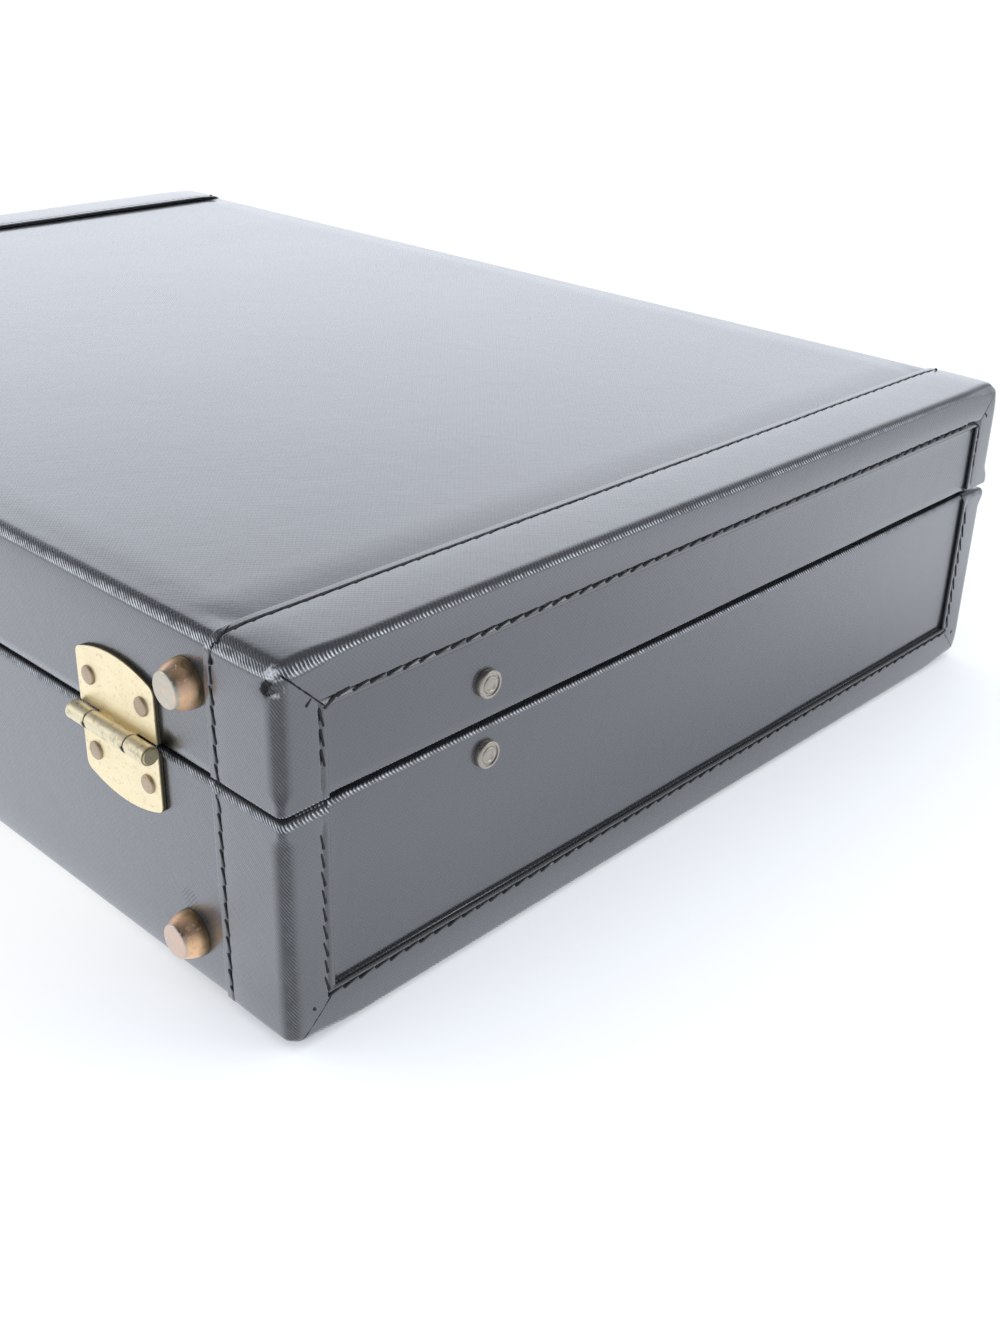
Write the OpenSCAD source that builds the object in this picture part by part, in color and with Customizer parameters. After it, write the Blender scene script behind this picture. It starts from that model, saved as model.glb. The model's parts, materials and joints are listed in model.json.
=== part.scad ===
// Attache case: leather over a board carcass, stitched end bands, brass hinges and locks.
// X runs along the case, the hinge side faces +Y, the handle side faces -Y, +Z is up.
// The origin is the middle of the underside, with the case lying flat and closed.

/* [Case] */
// Length over the end faces
case_l = 455; // [380:1:520]
// Depth from the handle side to the hinge side
case_d = 310; // [280:1:380]
// Height of the closed case
case_h = 103; // [96:1:130]
// Height of the middle of the gap between base and lid
split_h = 65.4; // [60:0.1:72]
// Gap between the rims of base and lid
split_gap = 1.8; // [1.2:0.1:2.4]
// Rounding of the outer edges
edge_r = 4.6; // [3.6:0.1:7]

/* [Leather] */
// Thickness of the main cover and of the end panels
leather_t = 1.2; // [0.8:0.1:1.6]
// Thickness of the end bands, which stand proud of the cover
band_t = 1.1; // [0.8:0.1:1.6]
// Width of an end band from the end face
band_w = 24.9; // [20:0.1:30]
// Width of the stitched border along the upright edges of an end face
border_side = 14.2; // [10:0.1:20]
// Width of the border along the top edge of the lid's end face
border_lid = 13.9; // [10:0.1:18]
// Width of the border along the bottom edge of the base's end face
border_base = 14.8; // [10:0.1:18]

/* [Boards] */
// Thickness of the rails that make the walls
rail_t = 6; // [5:0.5:8]
// Thickness of the bottom and top boards
board_t = 4.5; // [3:0.5:6]

/* [Lip, linings and pocket] */
// Thickness of the lip inside the base's rim
lip_t = 2.4; // [1.8:0.1:3.5]
// Height of the lip above the rim
lip_rise = 5; // [3:0.5:7]
// Depth of the lip below the rim
lip_depth = 19; // [16:1:24]
// Gap between the lip and the lid's rails
lip_gap = 0.6; // [0.4:0.1:1.2]
// Thickness of the linings
lining_t = 0.8; // [0.5:0.1:1.2]
// Distance from the lining of the lid's end to the document pocket
pocket_side = 18.4; // [12:0.1:60]
// Depth of the document pocket, measured from the hinge side
pocket_d = 190; // [120:5:220]
// Clear height inside the document pocket
pocket_gap = 5.5; // [4.6:0.1:7]
// Thickness of the pocket's leather
pocket_t = 1.6; // [1.2:0.1:2.4]

/* [Hinges] */
// Distance of a hinge's middle from the end face
hinge_inset = 61.5; // [56:0.5:90]
// Length of a hinge along the case
hinge_w = 32; // [30:0.5:40]
// Distance from the hinge axis to the crown of a leaf
leaf_h = 19.9; // [18:0.1:23]
// Rise of the arched edge of a leaf
leaf_rise = 3.4; // [2:0.1:5]
// Radius of the corners of a leaf
leaf_corner_r = 2.4; // [2:0.1:4]
// Thickness of a leaf
leaf_t = 1.2; // [0.8:0.1:1.5]
// Outer diameter of the barrel
barrel_d = 5; // [4.4:0.1:6]
// Diameter of the hinge pin
pin_d = 2.8; // [2:0.1:3.2]
// Distance of the hinge axis from the cover
axis_out = 3.3; // [3:0.1:4]
// Depth of the hinge axis below the middle of the gap
axis_drop = 1; // [0:0.1:1.5]
// Length of the middle knuckle, which belongs to the lid's leaf
mid_knuckle_l = 16; // [12:0.5:20]
// Spacing of a leaf's two rivets along the case
leaf_rivet_pitch = 22; // [18:0.5:25]
// Distance of a leaf's rivets from the hinge axis
leaf_rivet_drop = 10.5; // [9:0.1:13]
// Head diameter of a leaf's rivet
leaf_rivet_d = 5; // [4:0.1:6]

/* [Feet] */
// Diameter of a foot where it meets the cover
foot_d = 12.6; // [12:0.1:18]
// Diameter of a foot's flat tip
foot_tip_d = 9.2; // [8:0.1:11.5]
// Height of a foot
foot_h = 6; // [4:0.1:8]
// Distance of the lid's feet from the end face
foot_lid_in = 33.2; // [32:0.1:36]
// Distance of the base's feet from the end face
foot_base_in = 38; // [32:0.1:60]
// Distance of the lid's feet from the top
foot_lid_drop = 15.6; // [12:0.1:16]
// Height of the base's feet above the underside
foot_base_up = 16.5; // [12:0.1:22]

/* [Lid stays] */
// Distance of the stay rivets from the hinge side
stay_in = 64.6; // [56:0.1:80]
// Height of the lid's stay rivet above the middle of the gap
stay_lid_up = 10.9; // [9:0.1:14]
// Distance of the base's stay rivet below the middle of the gap
stay_base_down = 8.6; // [7:0.1:12]
// Width of a stay link
link_w = 11; // [9:0.5:13]
// Thickness of a stay link
link_t = 1.4; // [1:0.1:1.8]
// Gap between a link and what it slides past
link_gap = 0.3; // [0.2:0.05:0.5]
// Shank diameter of the stay rivets
stay_pin_d = 4; // [3:0.1:5]
// Head diameter of the stay rivets
stay_head_d = 7.4; // [6.5:0.1:9]

/* [Handle] */
// Distance between the middles of the two handle brackets
handle_span = 116; // [100:1:150]
// Height of the handle pivots above the underside
handle_z = 44; // [42:0.5:46]
// Distance of the handle pivots from the cover
handle_out = 8.5; // [8.2:0.1:11]
// Distance from the pivots to the middle of the grip
handle_drop = 31; // [28:0.5:33]
// Thickness of the leather grip
grip_d = 13; // [10:0.5:14]
// Radius of the bend at each end of the grip
grip_bend_r = 16; // [14:0.5:18]
// Diameter of the handle's pivot pins
handle_pin_d = 4; // [3:0.1:5]
// Thickness of the bracket metal
bracket_t = 1.5; // [1.2:0.1:2]

/* [Locks] */
// Distance of each lock's middle from the end face
lock_in = 77.5; // [52:0.5:110]
// Width of the lock's back plate
lock_w = 46; // [42:1:54]
// Height of the lock's back plate
lock_h = 29; // [28:0.5:32]
// Distance from the base's rim to the top of the lock's back plate
lock_drop = 2; // [1:0.1:4]
// Thickness of the lock's sheet metal
lock_t = 1.2; // [1:0.1:1.4]
// Depth of the lock's case in front of its back plate
lock_depth = 4; // [3.8:0.1:6]
// Width of the hasp
hasp_w = 20; // [16:1:26]
// Height of the hasp's pivot above the lid's rim
hasp_up = 14; // [12:0.5:18]
// Travel of the sliding button
button_travel = 5; // [3:0.5:5]
// Diameter of the key plug
plug_d = 8; // [6:0.5:9]

/* [Hidden] */
$fn = 48;

LEATHER = [0.13, 0.14, 0.15];
BAND = [0.10, 0.11, 0.12];
BRASS = [0.85, 0.74, 0.48];
COPPER = [0.55, 0.42, 0.34];
NICKEL = [0.70, 0.67, 0.62];
BOARD = [0.62, 0.50, 0.36];
LINING = [0.42, 0.30, 0.22];

// Amount by which a cutting solid runs past what it cuts
over = 1;
// Amount by which the shapes that make up one piece run into each other
bite = 0.2;
// Radial clearance of a fixed shank in its hole and of a turning pin in its bore
fixed_fit = 0.02;
turn_fit = 0.05;
// Radial clearance of the stays' upper pivot, which closes the linkage loop
open_pivot_fit = 0.25;

// Outer faces of the bands, the cover and the boards, and inner faces of the rails
out_x = case_l / 2;
out_y = case_d / 2;
cover_x = out_x - band_t;
cover_y = out_y - band_t;
board_in = band_t + leather_t;
board_x = out_x - board_in;
board_y = out_y - board_in;
in_x = board_x - rail_t;
in_y = board_y - rail_t;
base_rim = split_h - split_gap / 2;
lid_rim = split_h + split_gap / 2;
floor_z = board_in + board_t;
ceiling_z = case_h - board_in - board_t;

// The bands fold a little past the rims, so the gap is narrower there
band_fold = 0.35;
// The window in a band's end is cut a little past the band's inner face
window_over = 0.05;
// Least rounding of an inner face's edges
least_edge_r = 0.6;

// The lip stands in front of the rails and is set back where it enters the lid
lip_z0 = base_rim - lip_depth;
lip_z1 = base_rim + lip_rise;
lid_lining_z = lip_z1 + 1.5;

hinge_x = out_x - hinge_inset;
axis_y = cover_y + axis_out;
axis_z = split_h - axis_drop;
leaf_gap = 0.15;
knuckle_gap = 0.5;
web_z = 1.6;
pin_head_d = pin_d + 1.4;
pin_head_h = 0.5;
pin_end_gap = 0.05;
leaf_rivet_h = 0.8;

// Stay linkage: hinge axis, base rivet, knee and lid rivet are the corners of a
// parallelogram, so the lower link turns with the lid and the upper link keeps its angle.
stay_y = out_y - stay_in;
stay_base = [stay_y, split_h - stay_base_down];
stay_lid = [stay_y, split_h + stay_lid_up];
knee = stay_base + stay_lid - [axis_y, axis_z];
stay_head_h = 1;
lower_x = in_x - lip_t - link_gap;
upper_x = lower_x - link_t - link_gap / 2;

handle_axis_y = -cover_y - handle_out;
handle_x = handle_span / 2;
eye_w = 6;
eye_wall = 2;
eye_d = handle_pin_d + 2 * eye_wall;
ear_gap = 0.3;
ear_margin = 0.5;
ear_x = eye_w / 2 + ear_gap;
bracket_side = 1;
bracket_end = 3;
bracket_corner_r = 2.5;
handle_pin_proud = 0.4;
core_r = 2.4;
grip_r = grip_d / 2;
// Cup over each end of the grip, and the neck between it and the eye
neck_r = core_r + 0.4;
cup_r = grip_r + 0.4;
cup_top = 6;
cup_h = 5;
cup_taper = 1.6;

lock_x = out_x - lock_in;
lock_top = base_rim - lock_drop;
lock_mid = lock_top - lock_h / 2;
case_side = 3.5;
case_bottom = 2.5;
case_top = 2;
case_w = lock_w - 2 * case_side;
case_z0 = lock_top - lock_h + case_bottom;
case_z1 = lock_top - case_top;
face_out = lock_t + lock_depth;
hasp_pivot_z = lid_rim + hasp_up;
hasp_knuckle_d = 4.4;
hasp_pin_d = 1.8;
hasp_face = face_out + 0.3;
hasp_pivot_out = hasp_face + lock_t - hasp_knuckle_d / 2;
hasp_mid_w = 9;
hasp_side_w = 4.4;
hasp_strap_gap = 0.4;
hasp_pin_proud = 0.3;
plate_corner_r = 3;
staple_w = 6.6;
staple_h = 3.5;
staple_l = 3;
staple_z = case_z1 - 10;
notch_gap = 1;
notch_back = 0.4;
button_w = 7;
button_h = 8.6;
button_t = 2.6;
button_gap = 0.25;
button_corner_r = 1.5;
stem_w = 3;
stem_h = 2.3;
slot_side = 0.2;
slot_end = 0.15;
button_x = 9.5;
button_z = case_z0 + 6;
bolt_low = [-4.5, 0.2, -2.6];
bolt_high = [3, 1.6, 2.6];
hasp_tip_gap = 1;
hasp_tip_z = button_z + button_h / 2 + hasp_tip_gap;
plug_x = -11.5;
plug_proud = 0.3;
plug_back = 0.6;
keyhole_d = 2.4;
keyhole_w = 1.2;
pocket_back = 6;

// Places a child at both ends of the case, the right one mirrored
module both_ends() {
    children();
    mirror([1, 0, 0]) children();
}

// Rounded rectangle, centred, from squares and circles so that its corners stay true arcs
module rounded_rect(w, h, r) {
    square([w - 2 * r, h], center = true);
    square([w, h - 2 * r], center = true);
    for (x = [-1, 1], y = [-1, 1])
        translate([x * (w / 2 - r), y * (h / 2 - r)]) circle(r);
}

// The whole closed case drawn in from its outer faces, with its edges rounded to match
module case_box(inset) {
    r = max(edge_r - inset, least_edge_r);
    l = case_l - 2 * inset;
    d = case_d - 2 * inset;
    h = case_h - 2 * inset;
    translate([0, 0, case_h / 2]) intersection() {
        linear_extrude(h, center = true) rounded_rect(l, d, r);
        rotate([90, 0, 0]) linear_extrude(d + over, center = true) rounded_rect(l, h, r);
        rotate([90, 0, 90]) linear_extrude(l + over, center = true) rounded_rect(d, h, r);
    }
}

// Block between two corners
module block(low, high) {
    translate(low) cube(high - low);
}

// Slice of the case between two heights, and between two distances along it
module slice(x0, x1, z0, z1) {
    block([x0, -out_y - over, z0], [x1, out_y + over, z1]);
}

// Turns a shape drawn upwards so that it stands out of the left end face
module from_left_end(x) {
    translate([x, 0, 0]) rotate([0, -90, 0]) children();
}

// Turns a shape drawn upwards so that it stands out of the hinge side at a height
module from_hinge_side(x, z, y = cover_y) {
    translate([x, y, z]) rotate([-90, 0, 0]) children();
}

// Turns a shape drawn upwards so that it stands out of the handle side at a height
module from_front(x, z, y = -cover_y) {
    translate([x, y, z]) rotate([90, 0, 0]) children();
}

// Low domed rivet head with its flat side at zero
module dome(d, h) {
    r = (d * d / 4 + h * h) / (2 * h);
    intersection() {
        translate([0, 0, h - r]) sphere(r);
        cylinder(d = d + over, h = h);
    }
}

// Rivet head with a raised ring round a flatter middle
module ring_head(d, h) {
    ring_w = 0.8;
    taper = 0.6;
    sink = 0.3;
    difference() {
        cylinder(d1 = d, d2 = d - taper, h = h);
        translate([0, 0, h - sink]) cylinder(d = d - 2 * ring_w, h = over);
    }
}

// Holes for the stay rivets through everything at the left end
module stay_holes() {
    for (p = [stay_base, stay_lid])
        translate([-out_x - over, p[0], p[1]]) rotate([0, 90, 0])
            cylinder(d = stay_pin_d + 2 * fixed_fit, h = out_x - lower_x + 2 * over);
}

// Holes for the hinge rivets and foot shanks, part way into the rail of the hinge side
shank_d = 2.4;
shank_grip = 4;
shank_depth = leather_t + shank_grip;
foot_shank_d = 3.8;

module hinge_side_holes() {
    for (x = [-hinge_x, hinge_x], dx = [-0.5, 0.5], dz = [-1, 1])
        from_hinge_side(x + dx * leaf_rivet_pitch, axis_z + dz * leaf_rivet_drop,
                        cover_y - shank_depth)
            cylinder(d = shank_d + 2 * fixed_fit, h = shank_depth + over);
    for (x = [-1, 1]) {
        from_hinge_side(x * (out_x - foot_base_in), foot_base_up, cover_y - shank_depth)
            cylinder(d = foot_shank_d + 2 * fixed_fit, h = shank_depth + over);
        from_hinge_side(x * (out_x - foot_lid_in), case_h - foot_lid_drop,
                        cover_y - shank_depth)
            cylinder(d = foot_shank_d + 2 * fixed_fit, h = shank_depth + over);
    }
}

// Fixing points on the handle side
front_rivet_h = 0.9;
bracket_rivet_d = 4;
bracket_rivet_z = 6.6;
lock_rivet_d = 3.2;
lock_rivet_dx = lock_w / 2 - 1.9;
lock_rivet_dz = lock_h / 2 - 2.2;
hasp_rivet_d = 3.6;
hasp_plate_margin = 3;
hasp_plate_reach = 9;
hasp_plate_w = hasp_w + 2 * hasp_plate_margin;
hasp_plate_z0 = hasp_pivot_z - hasp_plate_reach;
hasp_plate_z1 = hasp_pivot_z + hasp_plate_reach;
hasp_rivet_dx = hasp_plate_w / 2 - hasp_plate_margin;
hasp_rivet_z = hasp_plate_z1 - 3.2;

function bracket_points() =
    [for (s = [-1, 1], z = [-1, 1]) [s * handle_x, handle_z + z * bracket_rivet_z]];
function lock_points() =
    [for (s = [-1, 1], x = [-1, 1], z = [-1, 1])
        [s * lock_x + x * lock_rivet_dx, lock_mid + z * lock_rivet_dz]];
function hasp_plate_points() =
    [for (s = [-1, 1], x = [-1, 1]) [s * lock_x + x * hasp_rivet_dx, hasp_rivet_z]];

module front_holes() {
    for (p = concat(bracket_points(), lock_points(), hasp_plate_points()))
        from_front(p[0], p[1], -cover_y + shank_depth)
            cylinder(d = shank_d + 2 * fixed_fit, h = shank_depth + over);
}

module front_rivets(points, out, head_d) {
    for (p = points) from_front(p[0], p[1], -cover_y - out) {
        translate([0, 0, bite - out - shank_depth])
            cylinder(d = shank_d, h = out + shank_depth - bite);
        dome(head_d, front_rivet_h);
    }
}

// Board across the bottom or the top
module panel_board(z0) {
    color(BOARD) intersection() {
        case_box(board_in);
        slice(-board_x, board_x, z0, z0 + board_t);
    }
}

// Long rail along the handle side or the hinge side
module long_rail(side, z0, z1) {
    color(BOARD) difference() {
        intersection() {
            case_box(board_in);
            block([-board_x, min(side * board_y, side * in_y), z0],
                  [board_x, max(side * board_y, side * in_y), z1]);
        }
        hinge_side_holes();
        front_holes();
    }
}

// Pair of short rails between the long ones
module end_rails(z0, z1) {
    color(BOARD) both_ends() difference() {
        block([-board_x, -in_y, z0], [-in_x, in_y, z1]);
        stay_holes();
    }
}

// Main leather, wrapped round the boards from side to side and turned in over the rails
module cover(z0, z1, turn_z) {
    color(LEATHER) difference() {
        union() {
            intersection() {
                difference() {
                    case_box(band_t);
                    case_box(board_in);
                }
                slice(-board_x, board_x, z0, z1);
            }
            for (s = [-1, 1])
                block([-in_x, min(s * in_y, s * (board_y + bite)), turn_z],
                      [in_x, max(s * in_y, s * (board_y + bite)), turn_z + leather_t]);
        }
        hinge_side_holes();
        front_holes();
    }
}

// Leather of one end face, turned in over the short rail
module end_panel(z0, z1, turn_z) {
    color(LEATHER) difference() {
        union() {
            intersection() {
                difference() {
                    case_box(band_t);
                    case_box(board_in);
                }
                slice(-out_x, -board_x, z0, z1);
            }
            block([-board_x - bite, -in_y, turn_z], [-in_x, in_y, turn_z + leather_t]);
        }
        stay_holes();
    }
}

// Raised band over one end, with a window that leaves a border on the end face
module end_band(z0, z1, window_z0, window_z1) {
    color(BAND) difference() {
        intersection() {
            difference() {
                case_box(0);
                case_box(band_t);
            }
            slice(-out_x, band_w - out_x, z0, z1);
        }
        block([-out_x - over, border_side - out_y, window_z0],
              [-cover_x + window_over, out_y - border_side, window_z1]);
    }
}

module foot(x, z) {
    color(COPPER) from_hinge_side(x, z) {
        cylinder(d1 = foot_d, d2 = foot_tip_d, h = foot_h);
        translate([0, 0, bite - shank_depth]) cylinder(d = foot_shank_d, h = shank_depth);
    }
}

// Outline of a leaf above the hinge axis: straight sides, round corners, arched crown
function arch_r() = (hinge_w * hinge_w / 4 + leaf_rise * leaf_rise) / (2 * leaf_rise);
function leaf_points() =
    let (r = arch_r(), cy = leaf_h - r, fx = hinge_w / 2 - leaf_corner_r,
         fy = cy + sqrt(pow(r - leaf_corner_r, 2) - fx * fx),
         turn = atan2(fy - cy, fx), steps = 6)
    concat(
        [[hinge_w / 2, leaf_gap]],
        [for (i = [0:steps]) [fx, fy] + leaf_corner_r * [cos(turn * i / steps), sin(turn * i / steps)]],
        [for (i = [1:2 * steps - 1]) let (a = turn + (180 - 2 * turn) * i / (2 * steps))
            [r * cos(a), cy + r * sin(a)]],
        [for (i = [steps:-1:0]) [-fx, fy] + leaf_corner_r * [-cos(turn * i / steps), sin(turn * i / steps)]],
        [[-hinge_w / 2, leaf_gap]]
    );

// Knuckle along X from x0 to x1, with the web that joins it to a leaf above the axis
module knuckle(x0, x1) {
    translate([x0, 0, 0]) rotate([90, 0, 90]) linear_extrude(x1 - x0) {
        circle(d = barrel_d);
        translate([-axis_out, leaf_gap]) square([axis_out, web_z - leaf_gap]);
    }
}

// Room for the other leaf's knuckle
module knuckle_room(x0, x1) {
    block([x0 - knuckle_gap, -axis_out - over, -over],
          [x1 + knuckle_gap, barrel_d, web_z + knuckle_gap]);
}

// One leaf with its knuckles, above the axis, which lies along X through the origin
module leaf(own, other, bore_fit) {
    color(BRASS) difference() {
        union() {
            difference() {
                translate([0, leaf_t - axis_out, 0]) rotate([90, 0, 0])
                    linear_extrude(leaf_t) polygon(leaf_points());
                for (k = other) knuckle_room(k[0], k[1]);
            }
            for (k = own) knuckle(k[0], k[1]);
        }
        rotate([0, 90, 0])
            cylinder(d = pin_d + 2 * bore_fit, h = hinge_w + 2 * over, center = true);
        for (dx = [-0.5, 0.5])
            translate([dx * leaf_rivet_pitch, over, leaf_rivet_drop]) rotate([90, 0, 0])
                cylinder(d = shank_d + 2 * fixed_fit, h = axis_out + 2 * over);
    }
}

mid_knuckle = [[-mid_knuckle_l / 2, mid_knuckle_l / 2]];
side_knuckles = [[-hinge_w / 2, -mid_knuckle_l / 2 - knuckle_gap],
                 [mid_knuckle_l / 2 + knuckle_gap, hinge_w / 2]];

module hinge_leaves(up) {
    for (x = [-hinge_x, hinge_x]) translate([x, axis_y, axis_z])
        if (up) leaf(mid_knuckle, side_knuckles, turn_fit);
        else mirror([0, 0, 1]) leaf(side_knuckles, mid_knuckle, fixed_fit);
}

module hinge_rivets(dz) {
    color(COPPER) for (x = [-hinge_x, hinge_x], dx = [-0.5, 0.5])
        from_hinge_side(x + dx * leaf_rivet_pitch, axis_z + dz * leaf_rivet_drop,
                        cover_y + leaf_t) {
            dome(leaf_rivet_d, leaf_rivet_h);
            translate([0, 0, bite - leaf_t - shank_depth])
                cylinder(d = shank_d, h = leaf_t + shank_depth);
        }
}

module hinge_pin() {
    color(BRASS) rotate([0, 90, 0]) {
        cylinder(d = pin_d, h = hinge_w + bite, center = true);
        for (s = [-1, 1]) translate([0, 0, s * (hinge_w / 2 + pin_end_gap + pin_head_h / 2)])
            cylinder(d = pin_head_d, h = pin_head_h, center = true);
    }
}

// Stay rivet through the left end, its outer head on the end panel. The lid's one has a
// collar from the lining to its link, which lies further in.
module stay_rivet(p, link_x) {
    collar_x = -in_x + lining_t;
    head_x = -link_x + link_t + link_gap / 2;
    color(NICKEL) translate([0, p[0], p[1]]) {
        from_left_end(-cover_x) ring_head(stay_head_d, stay_head_h);
        translate([-cover_x - bite, 0, 0]) rotate([0, 90, 0])
            cylinder(d = stay_pin_d, h = head_x + bite + cover_x + bite);
        translate([head_x, 0, 0]) rotate([0, 90, 0]) cylinder(d = stay_head_d, h = stay_head_h);
        if (link_x == upper_x) translate([collar_x, 0, 0]) rotate([0, 90, 0])
            cylinder(d = stay_head_d, h = -upper_x - link_gap / 2 - collar_x);
    }
}

// Flat link between two pivots in the YZ plane, its outer face at x, with a bore at each end
module stay_link(a, b, x, fit_a, fit_b) {
    run = norm(b - a);
    turn = atan2(b[1] - a[1], b[0] - a[0]);
    color(NICKEL) translate([-x, a[0], a[1]]) rotate([turn, 0, 0])
        rotate([90, 0, 90]) linear_extrude(link_t) difference() {
            union() {
                circle(d = link_w);
                translate([run, 0]) circle(d = link_w);
                translate([0, -link_w / 2]) square([run, link_w]);
            }
            circle(d = stay_pin_d + 2 * fit_a);
            translate([run, 0]) circle(d = stay_pin_d + 2 * fit_b);
        }
}

module knee_rivet() {
    color(NICKEL) translate([0, knee[0], knee[1]]) {
        translate([-lower_x, 0, 0]) rotate([0, 90, 0])
            cylinder(d = stay_pin_d, h = lower_x - upper_x + link_t + link_gap);
        translate([-upper_x + link_t + link_gap / 2, 0, 0]) rotate([0, 90, 0])
            cylinder(d = stay_head_d, h = stay_head_h);
    }
}

// Handle bracket: a riveted plate with two ears round the handle's eye
module handle_bracket() {
    plate_w = 2 * (ear_x + bracket_t + bracket_side);
    plate_h = 2 * (bracket_rivet_z + bracket_end);
    ear_d = eye_d + 2 * ear_margin;
    color(BRASS) difference() {
        union() {
            from_front(0, 0) linear_extrude(bracket_t) rounded_rect(plate_w, plate_h, bracket_corner_r);
            for (s = [-1, 1])
                translate([s * (ear_x + bracket_t / 2), handle_axis_y, 0]) rotate([90, 0, 90])
                    linear_extrude(bracket_t, center = true) {
                        circle(d = ear_d);
                        translate([0, -ear_d / 2])
                            square([-cover_y - handle_axis_y - bracket_t / 2, ear_d]);
                    }
        }
        translate([0, handle_axis_y, 0]) rotate([0, 90, 0])
            cylinder(d = handle_pin_d + 2 * fixed_fit, h = 4 * eye_w, center = true);
        for (z = [-1, 1]) from_front(0, z * bracket_rivet_z, -cover_y + over)
            cylinder(d = shank_d + 2 * fixed_fit, h = 4 * over);
    }
}

// Middle line of one half of the handle below its pivot, swept by a round section
module half_handle(r, top) {
    corner_x = handle_x - grip_bend_r;
    corner_z = grip_bend_r - handle_drop;
    translate([-handle_x, 0, corner_z]) cylinder(r = r, h = -top - corner_z);
    translate([-corner_x, 0, corner_z]) rotate([90, 0, 0]) rotate([0, 0, 180])
        rotate_extrude(angle = 90) translate([grip_bend_r, 0]) circle(r);
    translate([-corner_x, 0, -handle_drop]) rotate([0, 90, 0]) cylinder(r = r, h = corner_x);
}

module handle_sweep(r, top) {
    translate([0, handle_axis_y, handle_z]) both_ends() half_handle(r, top);
}

module handle_frame() {
    color(BRASS) difference() {
        union() {
            handle_sweep(core_r, 2);
            translate([0, handle_axis_y, handle_z]) both_ends() translate([-handle_x, 0, 0]) {
                rotate([0, 90, 0]) cylinder(d = eye_d, h = eye_w, center = true);
                translate([0, 0, -cup_top - bite]) cylinder(r = neck_r, h = cup_top + bite);
                translate([0, 0, -cup_top - cup_h])
                    cylinder(r1 = cup_r, r2 = cup_r - cup_taper, h = cup_h);
            }
        }
        translate([0, handle_axis_y, handle_z]) rotate([0, 90, 0])
            cylinder(d = handle_pin_d + 2 * turn_fit, h = 2 * case_d, center = true);
    }
}

module handle_grip() {
    color(LEATHER) difference() {
        handle_sweep(grip_r, cup_top + cup_h);
        handle_sweep(core_r + fixed_fit, 2);
    }
}

// Lock on the base: a riveted plate with a hollow case, open at the top for the staple
module lock_case() {
    wall = lock_t;
    staple_room = staple_w + 2 * notch_gap;
    color(BRASS) difference() {
        union() {
            from_front(0, lock_mid) linear_extrude(lock_t) rounded_rect(lock_w, lock_h, plate_corner_r);
            from_front(0, (case_z0 + case_z1) / 2)
                linear_extrude(face_out)
                    rounded_rect(case_w, case_z1 - case_z0, plate_corner_r - over);
        }
        block([wall - case_w / 2, wall - face_out - cover_y, case_z0 + wall],
              [case_w / 2 - wall, -cover_y - lock_t, case_z1 - wall]);
        block([-staple_room / 2, -cover_y - face_out - over, staple_z - notch_gap],
              [staple_room / 2, -cover_y - lock_t - notch_back, case_z1 + over]);
        block([button_x - stem_w / 2 - slot_side, -cover_y - face_out - over,
               button_z - stem_h / 2 - slot_end],
              [button_x + stem_w / 2 + button_travel + slot_side,
               -cover_y - face_out + wall + bite, button_z + stem_h / 2 + slot_end]);
        from_front(plug_x, button_z, -cover_y - lock_t - plug_back + turn_fit)
            cylinder(d = plug_d + 2 * turn_fit, h = lock_depth + over);
        for (x = [-1, 1], z = [-1, 1])
            from_front(x * lock_rivet_dx, lock_mid + z * lock_rivet_dz, -cover_y + over)
                cylinder(d = shank_d + 2 * fixed_fit, h = 4 * over);
    }
}

// Sliding button with its stem through the lock's front and its bolt inside
module lock_button() {
    front = -cover_y - face_out;
    color(BRASS) {
        from_front(button_x, button_z, front - button_gap)
            linear_extrude(button_t) rounded_rect(button_w, button_h, button_corner_r);
        block([button_x - stem_w / 2, front - button_gap - bite, button_z - stem_h / 2],
              [button_x + stem_w / 2, front + lock_t + 2 * bite, button_z + stem_h / 2]);
        translate([button_x, front + lock_t, button_z]) block(bolt_low, bolt_high);
    }
}

// Key plug with a round and slot keyhole
module key_plug() {
    keyhole_y = -cover_y - lock_depth + plug_back;
    color(NICKEL) difference() {
        from_front(plug_x, button_z, -cover_y - lock_t - plug_back)
            cylinder(d = plug_d, h = lock_depth + plug_back + plug_proud);
        from_front(plug_x, button_z + over, keyhole_y) cylinder(d = keyhole_d, h = lock_depth);
        block([plug_x - keyhole_w / 2, -cover_y - face_out - over, button_z - keyhole_d],
              [plug_x + keyhole_w / 2, keyhole_y, button_z + over]);
    }
}

// Plate on the lid that carries the hasp between two knuckles
module hasp_plate() {
    pivot_y = -cover_y - hasp_pivot_out;
    knuckle_x = hasp_mid_w / 2 + link_gap;
    color(BRASS) difference() {
        union() {
            from_front(0, (hasp_plate_z0 + hasp_plate_z1) / 2)
                linear_extrude(lock_t)
                    rounded_rect(hasp_plate_w, hasp_plate_z1 - hasp_plate_z0, plate_corner_r);
            for (s = [-1, 1])
                translate([s * (knuckle_x + hasp_side_w / 2), pivot_y, hasp_pivot_z])
                    rotate([90, 0, 90]) linear_extrude(hasp_side_w, center = true) {
                        circle(d = hasp_knuckle_d);
                        translate([0, -hasp_knuckle_d / 2])
                            square([hasp_pivot_out - lock_t / 2, hasp_knuckle_d]);
                    }
        }
        translate([0, pivot_y, hasp_pivot_z]) rotate([0, 90, 0])
            cylinder(d = hasp_pin_d + 2 * fixed_fit, h = 2 * hasp_w, center = true);
        for (x = [-1, 1])
            from_front(x * hasp_rivet_dx, hasp_rivet_z, -cover_y + over)
                cylinder(d = shank_d + 2 * fixed_fit, h = 4 * over);
    }
}

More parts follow.
